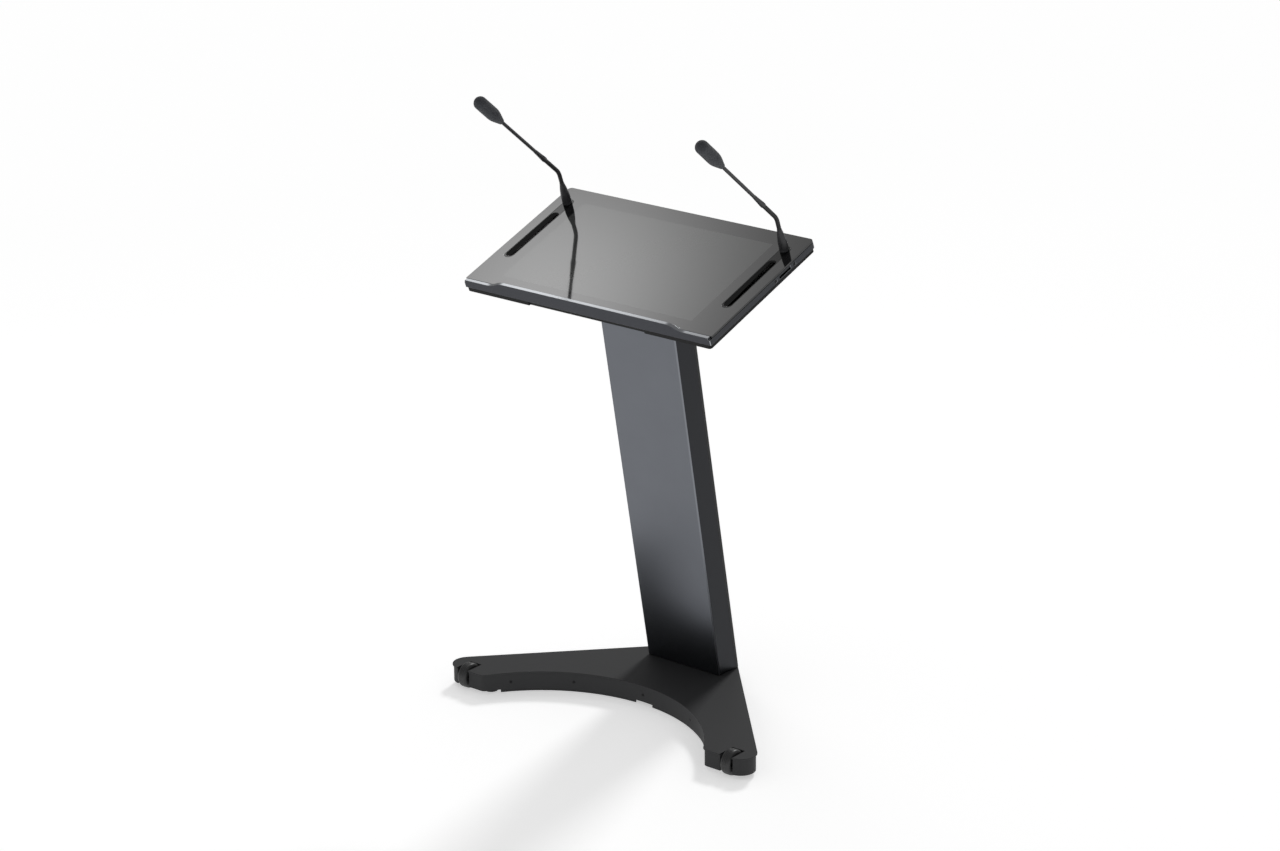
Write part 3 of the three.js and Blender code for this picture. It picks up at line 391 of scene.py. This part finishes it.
def filleted(profile, radius, steps=4):
    """A polyline of (r, z) pairs with each inner corner replaced by an arc of about `radius`."""
    largest_share = 0.45  # of a stretch, so that the arcs at its two ends don't meet
    points = [Vector(p) for p in profile]
    result = [points[0]]
    for before, corner, after in zip(points, points[1:], points[2:]):
        a = before - corner
        b = after - corner
        reach = min(radius, a.length * largest_share, b.length * largest_share)
        start = corner + a.normalized() * reach
        end = corner + b.normalized() * reach
        for i in range(steps + 1):
            t = i / steps
            result.append(start * (1 - t) ** 2 + corner * 2 * t * (1 - t) + end * t * t)
    result.append(points[-1])
    return result


def add_turned(bm, place, profile, segments=48, shape=None):
    """Surface of revolution about the local Z of `place`. shape(ring, angle) scales a ring's radius."""
    rings = []
    for i, (radius, height) in enumerate(profile):
        if radius < ON_AXIS:
            rings.append([bm.verts.new(place @ Vector((0, 0, height)))])
            continue
        ring = []
        for k in range(segments):
            angle = math.tau * k / segments
            r = radius * (shape(i, angle) if shape else 1)
            ring.append(bm.verts.new(place @ Vector((r * math.cos(angle), r * math.sin(angle), height))))
        rings.append(ring)
    for lower, upper in zip(rings, rings[1:]):
        for k in range(segments):
            after = (k + 1) % segments
            corners = [lower[k % len(lower)], lower[after % len(lower)]]
            corners += [upper[after % len(upper)], upper[k % len(upper)]]
            unique = list(dict.fromkeys(corners))
            if len(unique) > 2:
                bm.faces.new(unique)


def turned(name, place, profile, material, body, replaces, segments=48):
    """Turned piece that stands for CAD nodes."""
    bm = bmesh.new()
    add_turned(bm, place, profile, segments)
    add_piece(name, bm, material, body, replaces)


def add_block(bm, place, low, high, rounding):
    """Box between two local corners, its edges rounded."""
    made = bmesh.ops.create_cube(bm, size=1)
    centre = (Vector(low) + Vector(high)) / 2
    size = Vector(high) - Vector(low)
    for v in made["verts"]:
        v.co = place @ (centre + Vector(a * b for a, b in zip(v.co, size)))
    edges = list({e for v in made["verts"] for e in v.link_edges})
    bmesh.ops.bevel(bm, geom=edges, offset=rounding, segments=2, profile=0.5, affect="EDGES")


def add_socket_screw(bm, place, radius, height, socket):
    """Domed screw head that stands on the local XY plane, with a hexagon socket."""
    floor = height * 0.3
    outline = [(0, floor), (socket, floor), (socket, height * 0.96), (socket * 1.15, height)]
    outline += [(radius * 0.7, height), (radius * 0.93, height * 0.7), (radius, height * 0.35), (radius, 0)]
    socket_rings = (1, 2)
    half_side = math.pi / 6

    def hexagon(ring, angle):
        if ring not in socket_rings:
            return 1
        return math.cos(half_side) / math.cos((angle % (2 * half_side)) - half_side)

    add_turned(bm, place, outline, shape=hexagon)


def seated_screw(node, outward, height, socket_share, shank_share, depth):
    """Stands for a CAD screw: a head `height` high in its recess, and the shank behind it.

    The shares are of the head's radius.
    """
    low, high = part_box(node)
    centre = (low + high) / 2
    radius = girth(node, centre, outward)
    shank = radius * shank_share
    seat = centre + outward * (span(node, centre, outward)[1] - height)
    bm = bmesh.new()
    add_socket_screw(bm, axes_at(seat, outward, Z_AXIS), radius, height, radius * socket_share)
    add_turned(bm, axes_at(seat, -outward, Z_AXIS), [(shank, 0), (shank, depth), (0, depth)])
    add_piece(node + ".head", bm, DARK_STEEL, "stand", [node])


# ---------------------------------------------------------------- base

def build_base():
    for node in ("base_top_plate", "base_rim", "arc_skirt"):
        refined(node, 0.7 * MM)
    for node in ("left_ballast", "right_ballast", "column_anchor"):
        refined(node, 0.8 * MM)
    for node in ("left_flange_bolt", "right_flange_bolt"):
        refined(node, 0.3 * MM)
    build_rim_screws()
    for end in ("front", "rear"):
        for side in SIDES:
            build_foot(f"{end}_{side}_foot")
    build_inlet()


def build_rim_screws():
    """Heads seated in the rim, square to the arc."""
    for i in range(1, 6):
        node = f"rim_screw_{i}"
        low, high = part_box(node)
        outward = arc_outward((low + high) / 2)
        seated_screw(node, outward, height=0.9 * MM, socket_share=0.45, shank_share=0.5, depth=5 * MM)


def arc_outward(point):
    """Horizontal direction from a point of the arc towards the arc's centre."""
    low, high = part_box("arc_skirt")
    half = (high.x - low.x) / 2
    sagitta = high.y - low.y
    radius = (half * half + sagitta * sagitta) / (2 * sagitta)
    centre = Vector((0, high.y - radius, point.z))
    return (centre - point).normalized()


def build_foot(node):
    """Round rubber foot, hollow below and with a groove round its pad, on a stem."""
    low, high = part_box(node)
    place = Matrix.Translation(((low.x + high.x) / 2, (low.y + high.y) / 2, 0))
    radius = (high.x - low.x) / 2
    hollow = 0.8 * MM
    groove = radius - 0.8 * MM
    pad = 9 * MM
    stem = 8 * MM
    profile = [(0, hollow), (radius * 0.55, hollow), (radius * 0.6, 0), (radius - 2 * MM, 0)]
    profile += [(radius, 2.5 * MM), (radius, 5 * MM), (groove, 5.4 * MM), (groove, 6.2 * MM)]
    profile += [(radius, 6.6 * MM), (radius, pad), (stem, pad), (stem, high.z), (0, high.z)]
    turned(node + ".turned", place, filleted(profile, 0.6 * MM, 3), RUBBER, "stand", [node])


def build_inlet():
    """Inlet body with its three contacts, the middle one higher, and the rocker switch."""
    refined("power_inlet", 0.5 * MM)
    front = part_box("power_inlet")[0].y
    rocker_low, rocker_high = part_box("power_rocker")
    socket_x = -10 * MM
    socket_z = (rocker_low.z + rocker_high.z) / 2
    low = Vector((-1, 3, -2)) * MM
    high = Vector((1, 17, 2)) * MM
    for i, (across, up) in enumerate(((-7, -1.5), (0, 2.5), (7, -1.5))):
        place = Matrix.Translation((socket_x + across * MM, front, socket_z + up * MM))
        bm = bmesh.new()
        add_block(bm, place, low, high, 0.3 * MM)
        add_piece(f"inlet_contact_{i + 1}", bm, BRIGHT, "stand")
    refined("power_rocker", 0.5 * MM)


# ---------------------------------------------------------------- wheels

def build_wheel(side):
    """Tyre, hub and axle. The tyre and the hub turn on the axle."""
    joint = JOINTS[f"{side}_wheel_spin"]
    centre = Vector(joint["pos_m"])
    axis = Vector(joint["axis"])
    place = axes_at(centre, axis, Z_AXIS)
    build_tyre(side, centre, axis, place)
    build_hub(side, centre, axis, place)
    refined(f"{side}_wheel_axle", 0.4 * MM)


def mirrored(profile):
    """A closed profile, from its upper half: (r, z) pairs with z above zero."""
    return profile + [(r, -z) for r, z in reversed(profile)] + [profile[0]]


def build_tyre(side, centre, axis, place):
    """Tyre with rounded shoulders, and a flat tread with three fine grooves."""
    node = f"{side}_tyre"
    radius = girth(node, centre, axis)
    half = span(node, centre, axis)[1]
    inner = girth(f"{side}_wheel_hub", centre, axis) + 0.3 * MM
    groove = radius - 0.7 * MM
    middle_groove = [(radius, 0.7 * MM), (groove, 0.35 * MM)]
    side_groove_z = 0.33 * half
    profile = [(inner, half), (radius * 0.8, half), (radius - 3.5 * MM, half - 0.8 * MM)]
    profile += [(radius - 1.2 * MM, half - 2.6 * MM), (radius - 0.2 * MM, half - 5 * MM)]
    profile += [(r, side_groove_z + z) for r, z in middle_groove]
    profile += [(r, side_groove_z - z) for r, z in reversed(middle_groove)]
    profile = filleted(mirrored(profile + middle_groove), 0.6 * MM, 3)
    turned(node + ".turned", place, profile, TREAD, f"{side}_wheel", [node], 96)


def build_hub(side, centre, axis, place):
    """Hub with a boss, a thin web with ribs on either side, and a rim."""
    node = f"{side}_wheel_hub"
    radius = girth(node, centre, axis)
    reach = span(node, centre, axis)[1]
    bore = girth(f"{side}_wheel_axle", centre, axis) + 0.35 * MM
    boss = 9 * MM
    rim = radius - 3 * MM
    web = 3 * MM
    face = span(f"{side}_tyre", centre, axis)[1] - 2 * MM
    profile = [(bore, reach), (boss, reach), (boss + 0.8 * MM, web), (rim, web)]
    profile += [(rim + 0.6 * MM, face), (radius, face)]
    bm = bmesh.new()
    add_turned(bm, place, filleted(mirrored(profile), 0.6 * MM, 3), 72)
    half_rib = 0.9 * MM
    overlap = 0.5 * MM
    rib_top = face - 1 * MM
    ribs = 6
    for i in range(ribs):
        turn = place @ Matrix.Rotation(math.tau * i / ribs, 4, "Z")
        for low, high in ((web - overlap, rib_top), (-rib_top, -web + overlap)):
            add_block(bm, turn, (boss, -half_rib, low), (rim + overlap, half_rib, high), 0.3 * MM)
    add_piece(node + ".ribbed", bm, BLACK, f"{side}_wheel", [node])


# ---------------------------------------------------------------- column

def is_column_side(face):
    """Either side of the column, and what faces the rear panel: these faces are given painted shade, a darker copy
    of the column's anodised finish.
    """
    return abs(face.normal.x) > 0.8 or face.normal.dot(COLUMN_FRONT) < -0.3


def is_column_bevel(face):
    """The bevels between the column's front and its sides, which are given a painted highlight: a lighter copy of
    the anodised finish.
    """
    return 0.3 < abs(face.normal.x) <= 0.8 and face.normal.dot(COLUMN_FRONT) > 0.3


def build_column():
    painted_shade_and_highlight = [(COLUMN_SIDE_PAINTED_SHADE, is_column_side), (COLUMN_BEVEL_PAINTED_HIGHLIGHT, is_column_bevel)]
    refined("column_profile", 0.45 * MM, material=ANODISED, others=painted_shade_and_highlight)
    refined("column_rear_panel", 0.6 * MM)
    refined("column_gasket", 0.3 * MM)
    refined("column_head", 0.6 * MM)
    refined("power_supply", 1.2 * MM)
    refined("mains_cable", 0)
    build_panel_screws()


def build_panel_screws():
    """Pairs of screws that hold the rear panel, spread over its height."""
    rear = -COLUMN_FRONT
    corners = [v.co for v in frame["nodes"]["column_rear_panel"].data.vertices]
    face = max(co.dot(rear) for co in corners)
    heights = [co.dot(COLUMN_UP) for co in corners if co.dot(rear) > face - 0.5 * MM]
    low = min(heights) + 30 * MM
    high = max(heights) - 60 * MM
    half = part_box("column_rear_panel")[1].x - 9 * MM
    rows = 4
    for row in range(rows):
        height = low + (high - low) * row / (rows - 1)
        for column, x in enumerate((-half, half)):
            point = X_AXIS * x + COLUMN_UP * height + rear * (face - 0.1 * MM)
            bm = bmesh.new()
            add_socket_screw(bm, axes_at(point, rear), 3.2 * MM, 1.1 * MM, 1.3 * MM)
            add_piece(f"panel_screw_{row * 2 + column + 1}", bm, DARK_STEEL, "stand")


# ---------------------------------------------------------------- desk

SIDEWAYS = 0.85  # a face whose normal has more of X than this is on the band's left or right side


def faces_up(face):
    """True from the desk's surface down to the rounded edge round it."""
    return face.normal.dot(DESK_UP) > 0.35


def is_glass_edge(face):
    return not faces_up(face)


# The band's left and right sides, which are given painted shade.
def is_band_side(face):
    return abs(face.normal.x) > SIDEWAYS


def is_painted_highlight(face):
    """Top of the band, and its two front corners, which are given a painted highlight: a lighter copy of the
    band's finish.
    """
    at_corner = 0.4 < abs(face.normal.x) <= SIDEWAYS and face.normal.dot(DESK_BACK) < -0.3
    return faces_up(face) or at_corner


def build_desk():
    band_painted_highlight_and_shade = [(BAND_TOP_PAINTED_HIGHLIGHT, is_painted_highlight), (BAND_SIDE_PAINTED_SHADE, is_band_side)]
    refined("desk_frame", 0.9 * MM, material=BAND, others=band_painted_highlight_and_shade)
    glass = glass_finish(active_area())
    refined("glass_panel", 0.35 * MM, segments=2, material=glass, others=[(GLASS_EDGE, is_glass_edge)])
    refined("glass_gasket", 0)
    for side in SIDES:
        refined(f"{side}_pen_tray", 0.3 * MM, segments=2, material=TRAY)
    refined("underside_shell", 1.0 * MM, material=SHELL)
    refined("display_module", 0.6 * MM)
    refined("main_board", 0)
    refined("port_module", 0.15 * MM, segments=2)
    refined("desk_bracket", 0.8 * MM)
    for end in ("front", "rear"):
        node = f"port_screw_{end}"
        seated_screw(node, X_AXIS, height=1.1 * MM, socket_share=0.4, shank_share=0.476, depth=9 * MM)


def active_area():
    """Corners of the display's active area in the desk's frame: 16:9, inside the module's frame."""
    module = "display_module"
    border = 9 * MM
    x_low, x_high = span(module, DESK_ORIGIN, X_AXIS)
    y_low, y_high = span(module, DESK_ORIGIN, DESK_BACK)
    half_width = (x_high - x_low) / 2 - border
    half_depth = half_width * 9 / 16
    middle = (y_low + y_high) / 2
    return (-half_width, middle - half_depth), (half_width, middle + half_depth)


# ---------------------------------------------------------------- microphones

NECK_STEP = 0.4 * MM  # between the rings of the neck's sleeve
NECK_BEND_REACH = 10 * MM  # of the rounded corner, to either side of the bend
NECK_RIB = 0.18 * MM
NECK_PITCH = 2.1 * MM


def build_microphone(side):
    bend = Vector(JOINTS[f"{side}_neck_bend"]["pos_m"])
    sway = Vector(JOINTS[f"{side}_neck_sway"]["pos_m"])
    foot = bend - DESK_UP * (bend - DESK_ORIGIN).dot(DESK_UP)
    along = (sway - bend).normalized()
    upright = axes_at(foot, DESK_UP)
    leaning = axes_at(bend, along)
    build_mic_base(side, foot, upright)
    build_neck(side, foot, bend, sway, along)
    build_collar_and_rod(side, bend, along, leaning)
    build_windscreen(side, bend, along, leaning)


def build_mic_base(side, foot, upright):
    """Turned base: a short skirt, a joint line, then a long taper up to the neck."""
    node = f"{side}_mic_base"
    low, top = span(node, foot, DESK_UP)
    skirt = girth(node, foot, DESK_UP)
    stub = 6 * MM
    clearance = 0.35 * MM
    joint = skirt - 0.45 * MM
    profile = [(0, low), (stub, low), (stub, clearance), (skirt - 0.5 * MM, clearance), (skirt, 0.9 * MM)]
    profile += [(skirt, 5 * MM), (joint, 5.3 * MM), (joint, 5.8 * MM), (skirt, 6.1 * MM)]
    profile += [(skirt - 0.6 * MM, 25 * MM), (7.8 * MM, 41 * MM), (5.5 * MM, 52 * MM)]
    profile += [(5.2 * MM, top - 1 * MM), (4.6 * MM, top), (0, top)]
    profile = filleted(profile, 2.5 * MM, 5)
    turned(node + ".turned", upright, profile, MIC_BODY, "stand", [node], 64)


def straight_line(start, end):
    """Points from start to end, about NECK_STEP apart."""
    count = max(2, int((end - start).length / NECK_STEP))
    return [start.lerp(end, i / count) for i in range(count + 1)]


def bent_line(start, bend, end):
    """Points from start to end by way of bend, with the corner rounded."""
    first = bend + (start - bend).normalized() * NECK_BEND_REACH
    last = bend + (end - bend).normalized() * NECK_BEND_REACH
    steps = 24
    curve = []
    for i in range(1, steps):
        t = i / steps
        curve.append(first * (1 - t) ** 2 + bend * 2 * t * (1 - t) + last * t * t)
    return straight_line(start, first) + curve + straight_line(last, end)


def add_ribbed_tube(bm, points, radius):
    """Tube along points whose radius swells by NECK_RIB once every NECK_PITCH, closed at both ends."""
    segments = 20
    angles = [math.tau * k / segments for k in range(segments)]
    travelled = 0
    rings = []
    for i, point in enumerate(points):
        ahead = points[min(i + 1, len(points) - 1)] - points[max(i - 1, 0)]
        direction = ahead.normalized()
        y = direction.cross(X_AXIS).normalized()
        x = y.cross(direction)
        if i:
            travelled += (point - points[i - 1]).length
        r = radius + NECK_RIB * math.sin(math.tau * travelled / NECK_PITCH)
        rings.append([bm.verts.new(point + (x * math.cos(a) + y * math.sin(a)) * r) for a in angles])
    for lower, upper in zip(rings, rings[1:]):
        for k in range(segments):
            bm.faces.new((lower[k], lower[(k + 1) % segments], upper[(k + 1) % segments], upper[k]))
    bm.faces.new(rings[0])
    bm.faces.new(rings[-1])


def build_neck(side, foot, bend, sway, along):
    """Flexible neck in two pieces that meet halfway between the bends."""
    start = foot + DESK_UP * (span(f"{side}_mic_base", foot, DESK_UP)[1] - 0.2 * MM)
    end = bend + along * (span(f"{side}_mic_collar", bend, along)[0] + 0.5 * MM)
    middle = bend.lerp(sway, 0.5)
    radius = girth(f"{side}_neck_lower", foot, DESK_UP) - 0.2 * MM
    bm = bmesh.new()
    add_ribbed_tube(bm, bent_line(start, bend, middle), radius)
    nodes = [f"{side}_neck_lower", f"{side}_neck_middle"]
    lower = add_piece(f"{side}_neck_sleeve_lower", bm, SLEEVE, None, nodes)
    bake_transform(lower)
    bm = bmesh.new()
    add_ribbed_tube(bm, straight_line(middle, end), radius)
    upper = add_piece(f"{side}_neck_sleeve_upper", bm, SLEEVE, None, [f"{side}_neck_upper"])
    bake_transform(upper)


def build_collar_and_rod(side, bend, along, leaning):
    """Tapered collar that grips the neck, the thin rod in it, and the capsule at the rod's end."""
    collar = f"{side}_mic_collar"
    low, high = span(collar, bend, along)
    wide = girth(collar, bend, along)
    profile = [(0, low), (wide - 0.3 * MM, low), (wide, low + 0.5 * MM), (wide, low + 6.5 * MM)]
    profile += [(5.0 * MM, low + 22 * MM), (4.3 * MM, high - 0.6 * MM), (4.0 * MM, high), (0, high)]
    body = f"{side}_mic"
    turned(collar + ".turned", leaning, filleted(profile, 1.2 * MM), MIC_BODY, body, [collar])
    rod = f"{side}_mic_rod"
    low, high = span(rod, bend, along)
    radius = girth(rod, bend, along)
    profile = [(0, low), (radius, low), (radius, high - 0.5 * MM), (radius - 0.4 * MM, high), (0, high)]
    turned(rod + ".turned", leaning, filleted(profile, 0.2 * MM), MIC_BODY, body, [rod])
    refined(f"{side}_mic_capsule", 0.4 * MM)


def build_windscreen(side, bend, along, leaning):
    """Foam windscreen: open and tapered at the back, round at the nose, slightly uneven all over."""
    node = f"{side}_windscreen"
    low, high = span(node, bend, along)
    radius = girth(node, bend, along)
    nose = high - radius
    mouth = 6.1 * MM
    bore = 60 * MM
    lip = 0.3 * MM
    profile = [(mouth, low + bore), (mouth, low + 1 * MM), (mouth + lip, low)]
    tail = 6.8 * MM
    profile.append((tail, low + lip))
    taper = 40 * MM
    flank_steps = 34
    for i in range(1, flank_steps + 1):
        height = low + (nose - low) * i / flank_steps
        swell = min(1, (height - low) / taper)
        profile.append((tail + (radius - tail) * math.sin(swell * math.pi / 2) ** 1.25, height))
    nose_steps = 18
    for i in range(1, nose_steps):
        angle = math.pi / 2 * i / nose_steps
        profile.append((radius * math.cos(angle), nose + radius * math.sin(angle)))
    profile.append((0, high))
    bm = bmesh.new()
    add_turned(bm, leaning, profile, 96)
    bm.normal_update()
    fine = 1.6 * MM
    broad = 9 * MM
    for v in bm.verts:
        rough = noise.noise(v.co / fine) * 0.10 + noise.noise(v.co / broad) * 0.16
        v.co += v.normal * rough * MM
    foam = add_piece(node + ".foam", bm, FOAM, f"{side}_mic", [node])


# ---------------------------------------------------------------- stage

CAMERA_AZIMUTH = math.radians(39.142)
CAMERA_ELEVATION = math.radians(19.285)
CAMERA_ROLL = math.radians(-0.278)
CAMERA_DISTANCE = 7.69962
CAMERA_TARGET = Vector((0, 0.0444, 0.6277))
CAMERA_SENSOR_WIDTH = 36
CAMERA_LENS = 97.866
CAMERA_SHIFT = (-0.02003, 0.00614)

# The softbox: how far it is from the desk, where its middle is on its panel's plane, and how far from
# the middle its light has fallen to 1 / e.
SOFTBOX_DISTANCE = 2.5
SOFTBOX_OFFSET = (-0.314, -0.057)
SOFTBOX_REACH = (0.539, 0.410)
SOFTBOX_EDGE = 2.4  # the panel ends at this many reaches, where its light has faded out
SOFTBOX_PEAK = 2.26

KEY_LIGHT_TOWARDS = (-0.211, 0.736, 0.643)
KEY_LIGHT_IRRADIANCE = 1.1
KEY_LIGHT_WIDTH = math.radians(11)
WORLD_STRENGTH = 0.35
FLOOR_SIZE = 30
FLOOR_GLOW = 0.47


def add_camera():
    data = bpy.data.cameras.new("camera")
    data.sensor_width = CAMERA_SENSOR_WIDTH
    data.lens = CAMERA_LENS
    data.shift_x, data.shift_y = CAMERA_SHIFT
    data.clip_end = 200
    camera = bpy.data.objects.new("camera", data)
    level = Vector((math.sin(CAMERA_AZIMUTH), -math.cos(CAMERA_AZIMUTH), 0))
    back = level * math.cos(CAMERA_ELEVATION) + Z_AXIS * math.sin(CAMERA_ELEVATION)
    place = Matrix.Translation(CAMERA_TARGET + back * CAMERA_DISTANCE)
    look = (-back).to_track_quat("-Z", "Y").to_matrix().to_4x4()
    camera.matrix_world = place @ look @ Matrix.Rotation(CAMERA_ROLL, 4, "Z")
    bpy.context.scene.collection.objects.link(camera)
    bpy.context.scene.camera = camera
    return camera


def add_floor():
    """Pale floor that glows a little, so that it stays white while the object's shadows show on it."""
    bm = bmesh.new()
    bmesh.ops.create_grid(bm, x_segments=1, y_segments=1, size=FLOOR_SIZE)
    shader = Shader("studio_floor")
    shader.put("Base Color", shader.mix(shader.noise(1.5, 2), (0.90, 0.90, 0.90), (0.91, 0.91, 0.91)))
    shader.put("Roughness", 0.9)
    shader.put("Specular IOR Level", 0.0)
    shader.put("Emission Color", (1, 1, 1, 1))
    shader.put("Emission Strength", FLOOR_GLOW)
    floor = add_piece("studio_floor", bm, shader.material, None)


def add_key_light():
    """Distant light from behind, which casts the soft shadows in front of the lectern."""
    data = bpy.data.lights.new("key_light", "SUN")
    data.energy = KEY_LIGHT_IRRADIANCE
    data.angle = KEY_LIGHT_WIDTH
    light = bpy.data.objects.new("key_light", data)
    light.matrix_world = axes_at((0, 0, 4), KEY_LIGHT_TOWARDS)
    bpy.context.scene.collection.objects.link(light)


def glow_finish():
    """Light that falls off from the middle of a panel like a bell curve, clear where it ends."""
    shader = Shader("softbox_glow")
    spread = shader.add("ShaderNodeMapping")
    spread.inputs["Scale"].default_value = (1 / SOFTBOX_REACH[0], 1 / SOFTBOX_REACH[1], 1)
    shader.link(shader.position, spread.inputs["Vector"])
    length = shader.add("ShaderNodeVectorMath", operation="LENGTH")
    shader.link(spread.outputs["Vector"], length.inputs[0])
    squared = shader.math("MULTIPLY", length.outputs["Value"], length.outputs["Value"])
    bell = shader.math("POWER", math.e, shader.math("MULTIPLY", squared, -1))
    strength = shader.math("MULTIPLY", bell, SOFTBOX_PEAK)
    glow = shader.add("ShaderNodeEmission")
    shader.link(strength, glow.inputs["Strength"])
    clear = shader.add("ShaderNodeBsdfTransparent")
    both = shader.add("ShaderNodeAddShader")
    shader.link(glow.outputs[0], both.inputs[0])
    shader.link(clear.outputs[0], both.inputs[1])
    shader.link(both.outputs[0], shader.tree.nodes["Material Output"].inputs["Surface"])
    return shader.material


def add_softbox(camera_position):
    """Large soft light placed where the glass mirrors it towards the camera."""
    view = (DESK_ORIGIN - camera_position).normalized()
    reflected = view - DESK_UP * 2 * view.dot(DESK_UP)
    across = reflected.cross(Z_AXIS).normalized()
    place = axes_at(DESK_ORIGIN + reflected * SOFTBOX_DISTANCE, -reflected, across)
    centre = place @ Vector((*SOFTBOX_OFFSET, 0))
    bm = bmesh.new()
    bmesh.ops.create_grid(bm, x_segments=1, y_segments=1, size=SOFTBOX_EDGE)
    for v in bm.verts:
        v.co = Vector((v.co.x * SOFTBOX_REACH[0], v.co.y * SOFTBOX_REACH[1], 0))
    panel = add_piece("studio_softbox", bm, glow_finish(), None)
    panel.matrix_world = Matrix.Translation(centre) @ place.to_3x3().to_4x4()
    panel.visible_camera = False
    panel.visible_shadow = False


def add_world():
    world = bpy.data.worlds.new("studio")
    world.use_nodes = True
    background = world.node_tree.nodes["Background"]
    background.inputs["Color"].default_value = (1, 1, 1, 1)
    background.inputs["Strength"].default_value = WORLD_STRENGTH
    bpy.context.scene.world = world


def build_stage():
    camera = add_camera()
    add_floor()
    add_world()
    add_softbox(camera.matrix_world.translation)
    add_key_light()
    view = bpy.context.scene.view_settings
    view.view_transform = "Standard"
    view.look = "None"


# ---------------------------------------------------------------- the lectern

build_stage()
build_base()
for each_side in SIDES:
    build_wheel(each_side)
    build_microphone(each_side)
build_column()
build_desk()
